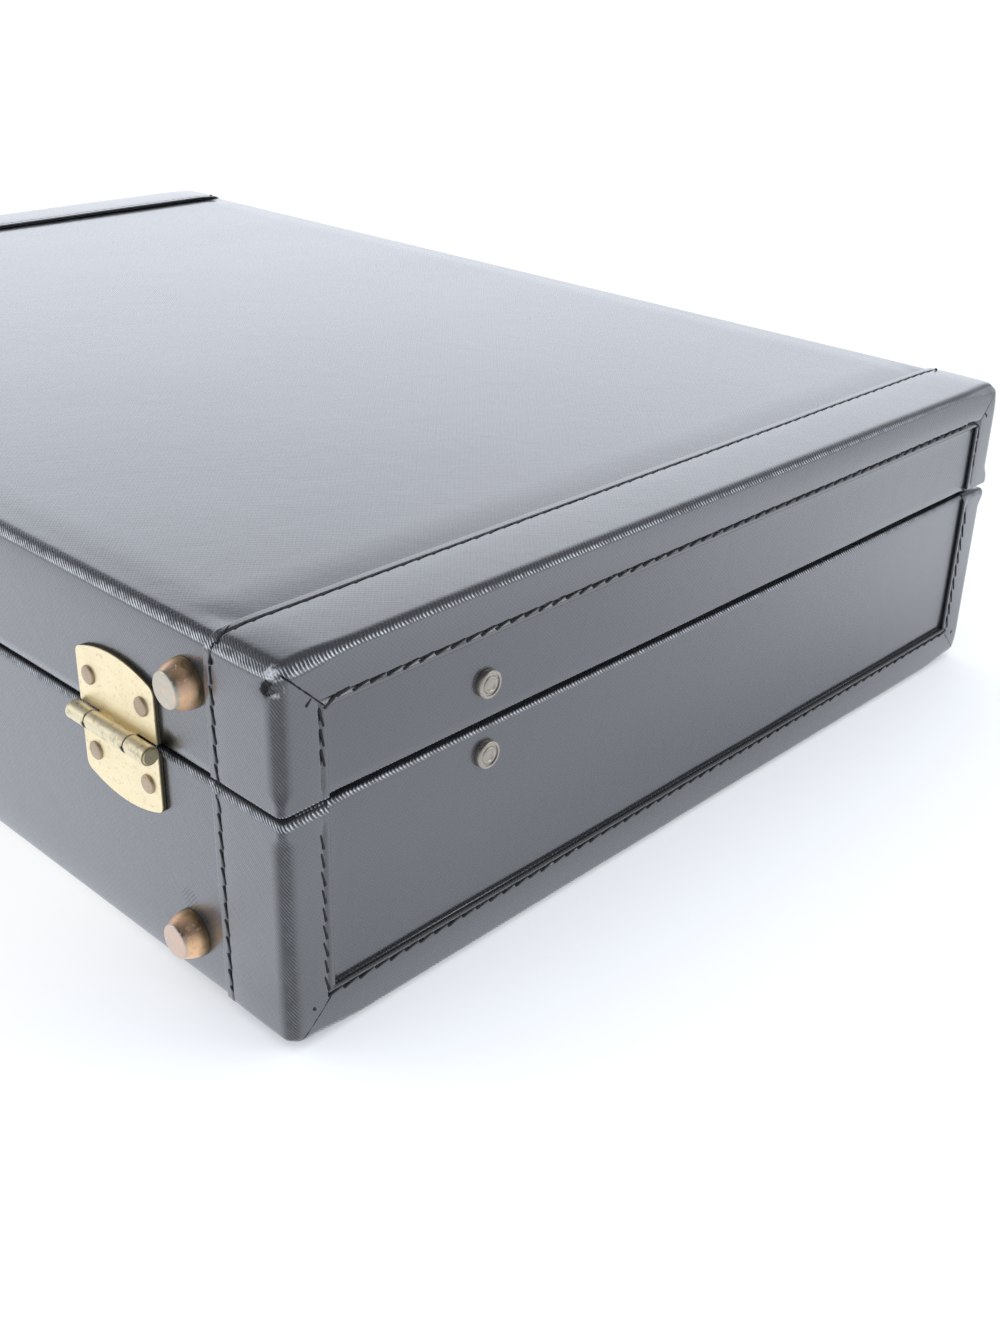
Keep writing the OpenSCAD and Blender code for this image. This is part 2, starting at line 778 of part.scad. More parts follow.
// Hasp that hangs from the lid in front of the lock, with a staple on its back
module hasp() {
    pivot_y = -cover_y - hasp_pivot_out;
    strap_top = hasp_pivot_z - hasp_knuckle_d / 2 - hasp_strap_gap;
    face_y = -cover_y - hasp_face;
    color(BRASS) difference() {
        union() {
            translate([0, face_y, (hasp_tip_z + strap_top) / 2]) rotate([90, 0, 0])
                linear_extrude(lock_t) rounded_rect(hasp_w, strap_top - hasp_tip_z, plate_corner_r);
            block([-hasp_mid_w / 2, face_y - lock_t, strap_top - plate_corner_r],
                  [hasp_mid_w / 2, face_y, hasp_pivot_z]);
            translate([0, pivot_y, hasp_pivot_z]) rotate([0, 90, 0])
                cylinder(d = hasp_knuckle_d, h = hasp_mid_w, center = true);
            block([-staple_w / 2, face_y - bite, staple_z],
                  [staple_w / 2, face_y + staple_l, staple_z + staple_h]);
        }
        translate([0, pivot_y, hasp_pivot_z]) rotate([0, 90, 0])
            cylinder(d = hasp_pin_d + 2 * turn_fit, h = 2 * hasp_w, center = true);
    }
}

// Ring-shaped lip inside the base's rim
module lip() {
    color(LEATHER) difference() {
        union() {
            block([-in_x, -in_y, lip_z0], [in_x, in_y, base_rim]);
            block([lip_gap - in_x, lip_gap - in_y, base_rim - over],
                  [in_x - lip_gap, in_y - lip_gap, lip_z1]);
        }
        block([lip_t - in_x, lip_t - in_y, lip_z0 - over],
              [in_x - lip_t, in_y - lip_t, lip_z1 + over]);
        both_ends() stay_holes();
    }
}

// Lining of the base: floor and walls up to the lip
module base_lining() {
    color(LINING) difference() {
        block([-in_x, -in_y, floor_z], [in_x, in_y, lip_z0]);
        block([lining_t - in_x, lining_t - in_y, floor_z + lining_t],
              [in_x - lining_t, in_y - lining_t, lip_z0 + over]);
    }
}

// Lining of the lid: ceiling and walls down to just above the lip
module lid_lining() {
    color(LINING) difference() {
        block([-in_x, -in_y, lid_lining_z], [in_x, in_y, ceiling_z]);
        block([lining_t - in_x, lining_t - in_y, lid_lining_z - over],
              [in_x - lining_t, in_y - lining_t, ceiling_z - lining_t]);
        both_ends() stay_holes();
    }
}

// Document pocket under the lid, closed on three sides and open towards the handle side
module document_pocket() {
    top = ceiling_z - lining_t;
    back = in_y - lining_t - pocket_back;
    side = in_x - lining_t - pocket_side;
    color(LEATHER) difference() {
        block([-side, back - pocket_d, top - pocket_gap - pocket_t], [side, back, top]);
        block([pocket_t - side, back - pocket_d - over, top - pocket_gap],
              [side - pocket_t, back - pocket_t, top + over]);
    }
}

module base_board() { panel_board(board_in); }
module base_front_rail() { long_rail(-1, floor_z, base_rim - leather_t); }
module base_back_rail() { long_rail(1, floor_z, base_rim - leather_t); }
module base_end_rails() { end_rails(floor_z, base_rim - leather_t); }
module base_cover() { cover(0, base_rim, base_rim - leather_t); }
module base_end_panel_left() { end_panel(0, base_rim, base_rim - leather_t); }
module base_end_panel_right() { mirror([1, 0, 0]) base_end_panel_left(); }
module base_band_left() {
    end_band(-over, base_rim + band_fold, border_base, split_h + over);
}
module base_band_right() { mirror([1, 0, 0]) base_band_left(); }
module base_lip() { lip(); }
module base_feet() { both_ends() foot(foot_base_in - out_x, foot_base_up); }
module base_hinge_leaves() { hinge_leaves(false); }
module base_hinge_rivets() { hinge_rivets(-1); }
module hinge_pins() {
    for (x = [-hinge_x, hinge_x]) translate([x, axis_y, axis_z]) hinge_pin();
}
module base_stay_rivets() { both_ends() stay_rivet(stay_base, lower_x); }
module handle_bracket_left() { translate([-handle_x, 0, handle_z]) handle_bracket(); }
module handle_bracket_right() { translate([handle_x, 0, handle_z]) handle_bracket(); }
module handle_pins() {
    color(NICKEL) both_ends() translate([-handle_x, handle_axis_y, handle_z])
        rotate([0, 90, 0])
            cylinder(d = handle_pin_d, h = 2 * (ear_x + bracket_t + handle_pin_proud), center = true);
}
module handle_bracket_rivets() { color(BRASS) front_rivets(bracket_points(), bracket_t, bracket_rivet_d); }
module lock_case_left() { translate([-lock_x, 0, 0]) mirror([1, 0, 0]) lock_case(); }
module lock_case_right() { translate([lock_x, 0, 0]) lock_case(); }
module lock_rivets() { color(BRASS) front_rivets(lock_points(), lock_t, lock_rivet_d); }

module lid_board() { panel_board(ceiling_z); }
module lid_front_rail() { long_rail(-1, lid_rim + leather_t, ceiling_z); }
module lid_back_rail() { long_rail(1, lid_rim + leather_t, ceiling_z); }
module lid_end_rails() { end_rails(lid_rim + leather_t, ceiling_z); }
module lid_cover() { cover(lid_rim, case_h, lid_rim); }
module lid_end_panel_left() { end_panel(lid_rim, case_h, lid_rim); }
module lid_end_panel_right() { mirror([1, 0, 0]) lid_end_panel_left(); }
module lid_band_left() {
    end_band(lid_rim - band_fold, case_h + over, split_h - over, case_h - border_lid);
}
module lid_band_right() { mirror([1, 0, 0]) lid_band_left(); }
module lid_feet() { both_ends() foot(foot_lid_in - out_x, case_h - foot_lid_drop); }
module lid_hinge_leaves() { hinge_leaves(true); }
module lid_hinge_rivets() { hinge_rivets(1); }
module lid_stay_rivets() { both_ends() stay_rivet(stay_lid, upper_x); }
module hasp_plate_left() { translate([-lock_x, 0, 0]) hasp_plate(); }
module hasp_plate_right() { translate([lock_x, 0, 0]) hasp_plate(); }
module hasp_plate_rivets() { color(BRASS) front_rivets(hasp_plate_points(), lock_t, hasp_rivet_d); }
module hasp_pins() {
    color(NICKEL) for (x = [-lock_x, lock_x])
        translate([x, -cover_y - hasp_pivot_out, hasp_pivot_z]) rotate([0, 90, 0])
            cylinder(d = hasp_pin_d, center = true,
                     h = hasp_mid_w + 2 * (link_gap + hasp_side_w + hasp_pin_proud));
}

module hasp_left() { translate([-lock_x, 0, 0]) hasp(); }
module hasp_right() { translate([lock_x, 0, 0]) hasp(); }
module lock_button_left() { translate([-lock_x, 0, 0]) mirror([1, 0, 0]) lock_button(); }
module lock_button_right() { translate([lock_x, 0, 0]) lock_button(); }
module key_plug_left() { translate([-lock_x, 0, 0]) mirror([1, 0, 0]) key_plug(); }
module key_plug_right() { translate([lock_x, 0, 0]) key_plug(); }
module stay_lower_left() { stay_link(stay_base, knee, lower_x, turn_fit, fixed_fit); }
module stay_lower_right() { mirror([1, 0, 0]) stay_lower_left(); }
module stay_upper_left() { stay_link(knee, stay_lid, upper_x, turn_fit, open_pivot_fit); }
module stay_upper_right() { mirror([1, 0, 0]) stay_upper_left(); }
module knee_rivet_left() { knee_rivet(); }
module knee_rivet_right() { mirror([1, 0, 0]) knee_rivet(); }

base_board();
base_front_rail();
base_back_rail();
base_end_rails();
base_cover();
base_band_left();
base_band_right();
base_end_panel_left();
base_end_panel_right();
base_lip();
base_lining();
base_feet();
base_hinge_leaves();
hinge_pins();
base_hinge_rivets();
base_stay_rivets();
handle_bracket_left();
handle_bracket_right();
handle_pins();
handle_bracket_rivets();
lock_case_left();
lock_case_right();
lock_rivets();
lid_board();
lid_front_rail();
lid_back_rail();
lid_end_rails();
lid_cover();
lid_band_left();
lid_band_right();
lid_end_panel_left();
lid_end_panel_right();
lid_lining();
document_pocket();
lid_feet();
lid_hinge_leaves();
lid_hinge_rivets();
lid_stay_rivets();
hasp_plate_left();
hasp_plate_right();
hasp_plate_rivets();
hasp_pins();
hasp_left();
hasp_right();
lock_button_left();
lock_button_right();
key_plug_left();
key_plug_right();
stay_lower_left();
stay_lower_right();
stay_upper_left();
stay_upper_right();
knee_rivet_left();
knee_rivet_right();
handle_frame();
handle_grip();
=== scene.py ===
import json
import math
from contextlib import contextmanager

import bmesh
import bpy
import numpy as np
from bpy.props import FloatProperty, FloatVectorProperty, IntProperty, PointerProperty
from mathutils import Euler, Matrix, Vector


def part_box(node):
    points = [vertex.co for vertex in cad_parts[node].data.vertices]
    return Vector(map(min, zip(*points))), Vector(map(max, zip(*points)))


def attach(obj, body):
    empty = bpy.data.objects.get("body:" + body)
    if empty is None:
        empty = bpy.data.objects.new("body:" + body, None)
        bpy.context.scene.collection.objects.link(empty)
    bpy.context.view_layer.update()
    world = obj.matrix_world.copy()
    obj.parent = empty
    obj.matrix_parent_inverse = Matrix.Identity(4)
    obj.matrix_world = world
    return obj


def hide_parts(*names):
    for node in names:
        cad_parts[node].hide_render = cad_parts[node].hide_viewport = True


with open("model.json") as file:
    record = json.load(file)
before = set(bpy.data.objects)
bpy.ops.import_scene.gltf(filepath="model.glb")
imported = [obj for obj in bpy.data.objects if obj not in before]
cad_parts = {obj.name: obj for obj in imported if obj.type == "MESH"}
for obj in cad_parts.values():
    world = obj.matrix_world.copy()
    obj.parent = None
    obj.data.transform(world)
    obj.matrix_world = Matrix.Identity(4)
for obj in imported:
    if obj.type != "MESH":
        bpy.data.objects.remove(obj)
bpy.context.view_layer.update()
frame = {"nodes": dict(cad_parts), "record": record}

bl_info = {
    "name": "Attache case",
    "version": (1, 0, 0),
    "blender": (4, 5, 0),
    "location": "View3D > Sidebar > Case",
    "description": "Leather, stitching and metalwork of an attache case, built round its solids",
    "category": "Object",
}

MM = 0.001


def mm(*lengths):
    """Millimetres, in metres."""
    return tuple(length * MM for length in lengths)


# Sizes of the case, read from its solids: half lengths, heights, and the bands' width and thickness
BAND_LOW, BAND_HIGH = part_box("base_band_left")
OUT_X = -BAND_LOW.x
OUT_Y = BAND_HIGH.y
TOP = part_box("lid_band_left")[1].z
BAND_W = BAND_HIGH.x + OUT_X
COVER_X = -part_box("base_end_panel_left")[0].x
COVER_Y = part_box("base_cover")[1].y
BAND_T = OUT_Y - COVER_Y
BASE_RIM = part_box("base_cover")[1].z
LID_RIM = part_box("lid_cover")[0].z
BAND_FOLD = BAND_HIGH.z - BASE_RIM
IN_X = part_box("base_lining")[1].x
IN_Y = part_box("base_lining")[1].y
SIDES = {"left": -1, "right": 1}

# How deep the bands' face lies in its solid, how far the bands turn in over a rim, and how far
# the padding slopes on the top and down the sides
BAND_SINK, TURN_IN, SHOULDER_REACH, SIDE_REACH = mm(0.2, 6.5, 17, 13)

# Window in the end borders: half its length, its top, and the middle of the end's height
WINDOW_Y, WINDOW_Z, MIDDLE_Z = mm(140.8, 89.1, 51.5)

# Hinges: the leaves' face, the middle of a hinge, the joint between its knuckles, and its axis
LEAF_FACE = COVER_Y + 1.2 * MM
HINGE_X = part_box("lid_hinge_leaves")[1].x - 16 * MM
KNUCKLE = 8.25 * MM
AXIS_Z = (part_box("lid_hinge_leaves")[0].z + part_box("base_hinge_leaves")[1].z) / 2

# Dark marks, marks of wear, and the knocks in the worn corner: place, depth and width of each
DARK_SPOT = mm(-185.0, 153.7, 68.0)
FOLDS = mm(-188.8, 153.7, 25.6)
WORN_CORNER = mm(-224.5, 153.9, 100.9)
STREAK = mm(-226.2, 153.6, 97.2)
HOLLOW = mm(-223.8, 154.6, 97.2)
KNOCKS = ((WORN_CORNER, *mm(-0.35, 1.4)), (HOLLOW, *mm(0.8, 1.7)),
          (mm(-226.0, 153.7, 98.6), *mm(0.35, 1.2)))

# Size of the thread on the top, down the sides, on the end borders and in the cross stitches
TOP_THREAD, SIDE_THREAD, BORDER_THREAD, CROSS_THREAD = 0.62, 0.85, 0.8, 1.1

# Cool colour of the room in the leather
TINT = (0.88, 0.92, 1.0)


def measure(name, description, default):
    """A length that can be set, with its default in millimetres."""
    return FloatProperty(name=name, description=description, default=default * MM, unit="LENGTH")


def colour_choice(name, description, default):
    """A colour that can be set, as linear values."""
    return FloatVectorProperty(name=name, description=description, default=default, subtype="COLOR")


def amount(name, description, default):
    """A plain number that can be set."""
    return FloatProperty(name=name, description=description, default=default)


class CaseSizes(bpy.types.PropertyGroup):
    """Sizes of the leatherwork."""

    edge_radius: measure("Edge radius", "Rounding of the case's outer edges", 4.6)
    end_edge_radius: measure("End edge radius", "Rounding of the edges over the ends", 2.5)
    base_rim_radius: measure(
        "Base rim radius", "Height of the rounding where the base's leather turns in", 2.0)
    lid_rim_radius: measure(
        "Lid rim radius", "Height of the rounding where the lid's leather turns in", 0.5)
    border_side: measure("Upright border", "Width of the end border along its upright edges", 14.2)
    border_lid: measure("Lid border", "Width of the end border along the top of the lid", 13.9)
    border_base: measure("Base border", "Width of the end border along the bottom of the base", 14.8)
    ridge: measure("Ridge", "How far the band's leather reaches past its inner layer", 0.7)
    seam_inset: measure("Seam inset", "Distance of the stitching from a band's free edge", 1.9)
    seam_depth: measure("Seam depth", "Depth to which the stitches draw the leather in", 0.42)
    panel_depth: measure("Panel depth", "Depth of the end panels below the border's own thickness", 0.5)
    shoulder: measure("Shoulder", "Fall of the top towards its long edges", 1.1)
    side_fall: measure("Side fall", "How much the sides fall away towards the long edges", 0.9)
    swell: measure("Swell", "Height of the slow waves in the leather", 0.16)


class StitchSizes(bpy.types.PropertyGroup):
    """Sizes of the stitches."""

    pitch: measure("Pitch", "Distance from one stitch to the next", 4.9)
    length: measure("Length", "Length of thread that shows in one stitch", 5.3)
    width: measure("Thread width", "Width of the flattened thread", 0.95)
    thickness: measure("Thread thickness", "Thickness of the flattened thread", 0.6)
    slant: FloatProperty(
        name="Slant", description="Angle between a stitch and its seam",
        default=math.radians(13), subtype="ANGLE")
    seed: IntProperty(name="Seed", description="Seed of the small differences between stitches", default=3)


class FinishColours(bpy.types.PropertyGroup):
    """Colours of the finishes, as linear values."""

    leather: colour_choice("Leather", "Colour of the main leather", (0.024, 0.025, 0.029))
    band: colour_choice("Band leather", "Colour of the bands' leather", (0.034, 0.035, 0.038))
    thread: colour_choice("Thread", "Colour of the stitching", (0.012, 0.012, 0.013))
    brass: colour_choice("Brass", "Colour of the lacquered brass", (0.93, 0.80, 0.52))
    copper: colour_choice("Copper", "Colour of the worn feet", (0.41, 0.26, 0.15))
    nickel: colour_choice("Nickel", "Colour of the plated steel", (0.48, 0.44, 0.38))
    lining: colour_choice("Lining", "Colour of the lining cloth", (0.20, 0.105, 0.062))
    board: colour_choice("Board", "Colour of the carcass boards", (0.42, 0.29, 0.17))


class StageSettings(bpy.types.PropertyGroup):
    """Camera and light."""

    camera_place: FloatVectorProperty(
        name="Camera place", description="Where the camera stands", subtype="TRANSLATION",
        default=(-0.45138, 0.32520, 0.24773))
    camera_turn: FloatVectorProperty(
        name="Camera turn", description="The camera's rotation", subtype="EULER",
        default=(math.radians(62.8457), math.radians(-1.3429), math.radians(-135.9944)))
    camera_lens: amount("Lens", "Focal length for a 36 mm long side", 41.496)
    fill: amount("Fill", "Brightness of the room for surfaces that scatter its light", 1.45)
    side_power: amount("Side lights", "Power of each low soft light beside the case, in watts", 5.2)
    horizon: amount("Horizon", "Brightness of the room's walls", 1.58)
    ceiling: amount("Ceiling", "Brightness of the room above its walls", 0.05)


def settings():
    return bpy.context.scene.attache_case


class Flow:
    """A value in a node tree. Arithmetic on it adds Math nodes."""

    def __init__(self, owner, socket):
        self.owner = owner
        self.socket = socket

    def _math(self, operation, *values):
        return self.owner.node("ShaderNodeMath", {"operation": operation}, dict(enumerate(values)))

    def __add__(self, other):
        return self._math("ADD", self, other)

    def __sub__(self, other):
        return self._math("SUBTRACT", self, other)

    def __rsub__(self, other):
        return self._math("SUBTRACT", other, self)

    def __mul__(self, other):
        return self._math("MULTIPLY", self, other)

    __radd__ = __add__
    __rmul__ = __mul__

    def sine(self):
        return self._math("SINE", self)

    def magnitude(self):
        return self._math("ABSOLUTE", self)

    def least(self, other):
        return self._math("MINIMUM", self, other)

    def most(self, other):
        return self._math("MAXIMUM", self, other)

    def step(self, low, high):
        """Rises smoothly from 0 at low to 1 at high."""
        return self.owner.node(
            "ShaderNodeMapRange", {"interpolation_type": "SMOOTHSTEP"},
            {"Value": self, "From Min": low, "From Max": high})


class Tree:
    """A node tree being built."""

    def __init__(self, tree):
        self.tree = tree

    def node(self, kind, options=None, inputs=None, output=0):
        """Adds any node: its settings first, then the values or links of its sockets."""
        made = self.tree.nodes.new(kind)
        for key, value in (options or {}).items():
            setattr(made, key, value)
        for key, value in (inputs or {}).items():
            if isinstance(value, Flow):
                self.tree.links.new(value.socket, made.inputs[key])
            else:
                made.inputs[key].default_value = value
        return Flow(self, made.outputs[output])

    def vector(self, operation, inputs, output=0):
        """Vector Math on vectors, or on one vector and a number."""
        return self.node("ShaderNodeVectorMath", {"operation": operation}, inputs, output)


class Finish(Tree):
    """A material being built, with one shader and the nodes that feed it."""

    def __init__(self, name, tree_of=None, **constants):
        self.material = tree_of or bpy.data.materials.new(name)
        self.material.use_nodes = True
        super().__init__(self.material.node_tree)
        self.shader = self.tree.nodes["Background" if tree_of else "Principled BSDF"]
        for socket, value in constants.items():
            self.shader.inputs[socket.replace("_", " ")].default_value = value
        self.here = self.node("ShaderNodeTexCoord", output="Object")

    def ramp(self, value, stops):
        """Colour ramp through stops, each a place and a colour."""
        made = self.tree.nodes.new("ShaderNodeValToRGB")
        elements = made.color_ramp.elements
        while len(elements) < len(stops):
            elements.new(0.5)
        for element, (place, colour) in zip(elements, stops):
            element.position = place
            element.color = (*colour, 1)
        self.tree.links.new(value.socket, made.inputs["Fac"])
        return Flow(self, made.outputs["Color"])

    def noise(self, scale, detail=3.0, rough=0.5, at=None, distortion=0.0):
        return self.node("ShaderNodeTexNoise", {}, {
            "Vector": at or self.here, "Scale": scale, "Detail": detail, "Roughness": rough,
            "Distortion": distortion})

    def along(self, direction):
        """Distance along a direction, in metres."""
        way = tuple(Vector(direction).normalized())
        return self.vector("DOT_PRODUCT", {0: self.here, 1: way}, "Value")

    def distance(self, place, stretch=(1, 1, 1)):
        """Distance from a place, with each axis counted stretch times."""
        moved = self.vector("SUBTRACT", {0: self.here, 1: place})
        return self.vector("LENGTH", {0: self.vector("MULTIPLY", {0: moved, 1: stretch})}, "Value")

    def attribute(self, name):
        return self.node("ShaderNodeAttribute", {"attribute_name": name}, output="Fac")

    def ray(self, kind):
        """1 where the light's path is of a kind, and 0 elsewhere."""
        return self.node("ShaderNodeLightPath", output=f"Is {kind} Ray")

    def blend(self, share, first, second):
        """Colour that goes from first to second as share goes from 0 to 1."""
        first, second = [c if isinstance(c, Flow) else (*c, 1) for c in (first, second)]
        return self.node("ShaderNodeMix", {"data_type": "RGBA"}, {0: share, 6: first, 7: second}, 2)

    def bump(self, height, depth, below=None):
        """Normal from a height between 0 and 1 that stands for a depth in metres."""
        under = {"Normal": below} if below else {}
        return self.node("ShaderNodeBump", {}, {"Height": height, "Distance": depth, **under}, "Normal")

    def shaded(self):
        return Flow(self, self.shader.outputs[0])

    def end(self, shader):
        """Puts another shader in place of the material's own."""
        self.tree.links.new(shader.socket, self.tree.nodes["Material Output"].inputs["Surface"])

    def feed(self, **values):
        """Links values to the shader's sockets."""
        for key, value in values.items():
            self.tree.links.new(value.socket, self.shader.inputs[key.replace("_", " ")])
        return self.material


def shade(colour, factor):
    return tuple(min(1.0, c * factor) for c in colour)


def leather_finish(name, colour, worn=False):
    """Glossy black leather with a fine slanting hatch and creases, pale painted glints on the grain ridges
    of its edges, and painted shade along its seams.
    """
    f = Finish(name, IOR=1.6, Specular_IOR_Level=0.5, Coat_Weight=1.0, Coat_Roughness=0.17,
               Coat_IOR=1.7)
    sway = f.noise(290, 2.0) * 2.4 + f.noise(1400, 2.0) * 1.1
    hatches = [
        (f.along(direction) * (math.pi / pitch) + sway * turns).sine().magnitude()
        for direction, pitch, turns in (
            ((1, 1, -1), 0.63 * MM, 1.0), ((1, 1, 1), 0.98 * MM, 1.3), ((-1, 1, 1), 0.92 * MM, -1.2))
    ]
    seam, bend = f.attribute("seam"), f.attribute("bend")
    grain = hatches[0] * (0.5 + bend * 0.3) + (hatches[1] + hatches[2]) * (0.25 - bend * 0.15)
    ridges = (hatches[0] + f.noise(330, 3.0, 0.7) * 0.9 - 0.45).step(0.7, 1.05)
    pores = f.noise(2300, 2.0, 0.6)
    patches = f.noise(14, 4.0, 0.6)
    creases = f.noise(75, 5.0, 0.62, distortion=0.5)
    tone = grain * 0.5 + patches * 0.5 + 0.5
    # Along seams and free edges the colour is darkened: painted shade in the stitch groove, and dark edge
    # finish with painted shade on the free edge
    base = f.vector("SCALE", {0: colour, "Scale": (tone - seam * 0.8).most(0.1)})
    valleys = bend * (1 - ridges)
    # Painted glints: pale grey on the grain ridges where the leather faces upward at a slant
    base = f.blend(f.attribute("scuff") * ridges * 0.85, base, (0.44, 0.46, 0.49))
    rough = patches * 0.10 + (1 - grain) * 0.12 + (seam + valleys * 0.6) * 0.35 + 0.16
    skin = f.bump(creases, 0.20 * MM)
    skin = f.bump(pores, 0.015 * MM, skin)
    skin = f.bump(grain * (bend * 0.7 + 0.6), 0.10 * MM, skin)
    if worn:
        x, y, z = [f.along(way) for way in ((1, 0, 0), (0, 1, 0), (0, 0, 1))]
        across = (y.magnitude() - WINDOW_Y) - (z - MIDDLE_Z).magnitude() + WINDOW_Z - MIDDLE_Z
        split = across.magnitude() + f.noise(500, 3.0) * (0.8 * MM) - 0.4 * MM
        crack = (1 - split.step(0.05 * MM, 0.4 * MM)) * y.magnitude().step(WINDOW_Y, WINDOW_Y + 1 * MM)
        crack = crack * x.magnitude().step(OUT_X - 3 * MM, OUT_X - 1.5 * MM)
        skin = f.bump(1 - crack, 0.3 * MM, skin)
        near = f.distance(WORN_CORNER).least(f.distance(STREAK) + 1.0 * MM)
        ragged = near + (f.noise(420, 4.0, 0.7) - 0.5) * (4 * MM)
        bare = (1 - ragged.step(1.4 * MM, 3.6 * MM)) * f.noise(480, 4.0, 0.75).step(0.42, 0.58)
        uneven = (f.noise(330, 4.0, 0.7) - 0.5) * (6 * MM)
        hollow = 1 - (f.distance(HOLLOW) + uneven).step(1.2 * MM, 2.6 * MM)
        bare = bare * (1 - hollow)
        base = f.blend(bare * 0.8, base, (0.55, 0.55, 0.56))
        dark = hollow.most(crack)
        base = f.blend(dark * 0.8, base, (0.008, 0.008, 0.008))
        rough = rough + hollow * 0.3
    else:
        # A darker spot right of the hinge barrel's end, and a dark patch with pale hair lines: near-black
        # colour, with metallic that puts out the leather's reflection there
        dark_spot = 1 - (f.distance(DARK_SPOT) + (f.noise(350, 3.0) - 0.5) * (3 * MM)).step(1.2 * MM, 5.2 * MM)
        folds = 1 - f.distance(FOLDS).step(2.0 * MM, 4.5 * MM)
        hairs = (f.along((1, 0, 0.9)) * (math.pi / (0.9 * MM)) + sway).sine().magnitude().step(0.0, 0.5)
        folds = folds * (1 - hairs)
        dark = dark_spot.most(folds * 0.8)
        base = f.blend(dark * 0.95, base, (0.006, 0.006, 0.007))
        rough = rough + dark_spot * 0.2
    return f.feed(Base_Color=base, Roughness=rough, Normal=skin, Metallic=dark * 0.95,
                  Coat_Weight=(1 - seam.most(dark) * 0.9) * (1 - valleys * 0.92))


def thread_finish(name, colour):
    """Waxed black thread with its twist."""
    f = Finish(name, IOR=1.5, Specular_IOR_Level=0.25)
    twist = (f.along((1, 1, 1)) * (2 * math.pi / (0.5 * MM))).sine()
    fuzz = f.noise(3000, 2.0)
    base = f.blend(fuzz, shade(colour, 0.6), shade(colour, 1.9))
    return f.feed(Base_Color=base, Roughness=0.5 + fuzz * 0.2,
                  Normal=f.bump(twist * 0.5 + 0.5, 0.05 * MM))


def metal_finish(name, colour, dirt, gloss, dirt_share, brushed=(1, 0, 0), tip=None, hinge=False):
    """Worn metal: fine brushing, scratches, specks of tarnish, dull patches, and a rubbed tip."""
    f = Finish(name, Metallic=1.0)
    brushing = f.node(
        "ShaderNodeMapping", {},
        {"Vector": f.here, "Scale": tuple(60 if abs(b) > 0.5 else 1500 for b in brushed)})
    strokes = f.noise(1.0, 3.0, 0.6, at=brushing)
    specks = f.noise(1100, 4.0, 0.7).step(0.60 - 0.12 * dirt_share, 0.68)
    patches = f.noise(150, 5.0, 0.6).step(0.42, 0.72)
    tarnish = (specks * 0.8 + patches * dirt_share).least(1.0)
    base = f.blend(tarnish * (0.35 + 0.5 * dirt_share), colour, dirt)
    base = f.blend(strokes * 0.25, base, shade(colour, 0.72))
    if tip:
        out = f.along((0, 1, 0))
        rubbed = (out + f.noise(600, 3.0) * (0.8 * MM)).step(OUT_Y + 4.1 * MM, OUT_Y + 4.8 * MM)
        olive = 1 - (out + f.noise(350, 3.0) * (2.2 * MM)).step(OUT_Y + 0.6 * MM, OUT_Y + 3.4 * MM)
        rosy = f.noise(260, 4.0, 0.65).step(0.45, 0.6)
        base = f.blend(rosy * 0.6, base, (0.80, 0.54, 0.42))
        base = f.blend(olive * 0.7, base, (0.20, 0.16, 0.07))
        base = f.blend(rubbed * (f.noise(420, 4.0, 0.7).step(0.3, 0.6) * 0.35 + 0.6), base, tip)
    rough = strokes * 0.12 + tarnish * 0.22 + gloss
    if hinge:
        out = f.along((0, 1, 0))
        # The leaves' edge faces are made nearly black: painted shade along the leaves' edges, with patina
        sides = (1 - out.step(LEAF_FACE - 0.45 * MM, LEAF_FACE - 0.2 * MM)) * out.step(0, 0.1 * MM)
        barrel = out.step(LEAF_FACE + 0.2 * MM, LEAF_FACE + 0.6 * MM)
        grime = f.noise(480, 5.0, 0.7).step(0.5, 0.66) * barrel
        base = f.blend(sides * 0.85, base, (0.05, 0.045, 0.025))
        base = f.blend(barrel * 0.45, base, (0.80, 0.76, 0.62))
        base = f.blend(grime * 0.5, base, (0.34, 0.29, 0.17))
        rough = rough + barrel * 0.16 + sides * 0.3
        # Painted shade: dark slots in the gaps between the knuckles, on the barrel's lower half
        joint = ((f.along((1, 0, 0)).magnitude() - HINGE_X).magnitude() - KNUCKLE).magnitude()
        joint = joint + f.noise(900, 3.0) * (0.5 * MM)
        slot = (1 - joint.step(0.9 * MM, 1.25 * MM)) * barrel
        slot = slot * (1 - f.along((0, 0, 1)).step(AXIS_Z, AXIS_Z + 0.6 * MM))
        base = f.blend(slot * 0.9, base, (0.035, 0.028, 0.015))
    normal = f.bump(strokes, 0.012 * MM)
    normal = f.bump(specks, 0.02 * MM, normal)
    return f.feed(Base_Color=base, Roughness=rough, Metallic=1 - tarnish * 0.45, Normal=normal)


def lining_finish(name, colour):
    """Brown lining cloth in a plain weave."""
    f = Finish(name, Roughness=0.9, Sheen_Weight=0.25, Sheen_Roughness=0.5)
    yarn = 0.55 * MM
    waves = [(f.along(d) * (math.pi / yarn)).sine().magnitude() for d in ((1, 0, 0), (0, 1, 0), (0, 0, 1))]
    weave = waves[0].least(waves[1]).least(waves[2] + 0.35)
    slubs = f.noise(240, 3.0, 0.6)
    base = f.blend(slubs * 0.6 + weave * 0.4, shade(colour, 0.6), shade(colour, 1.3))
    return f.feed(Base_Color=base, Normal=f.bump(weave, 0.12 * MM))


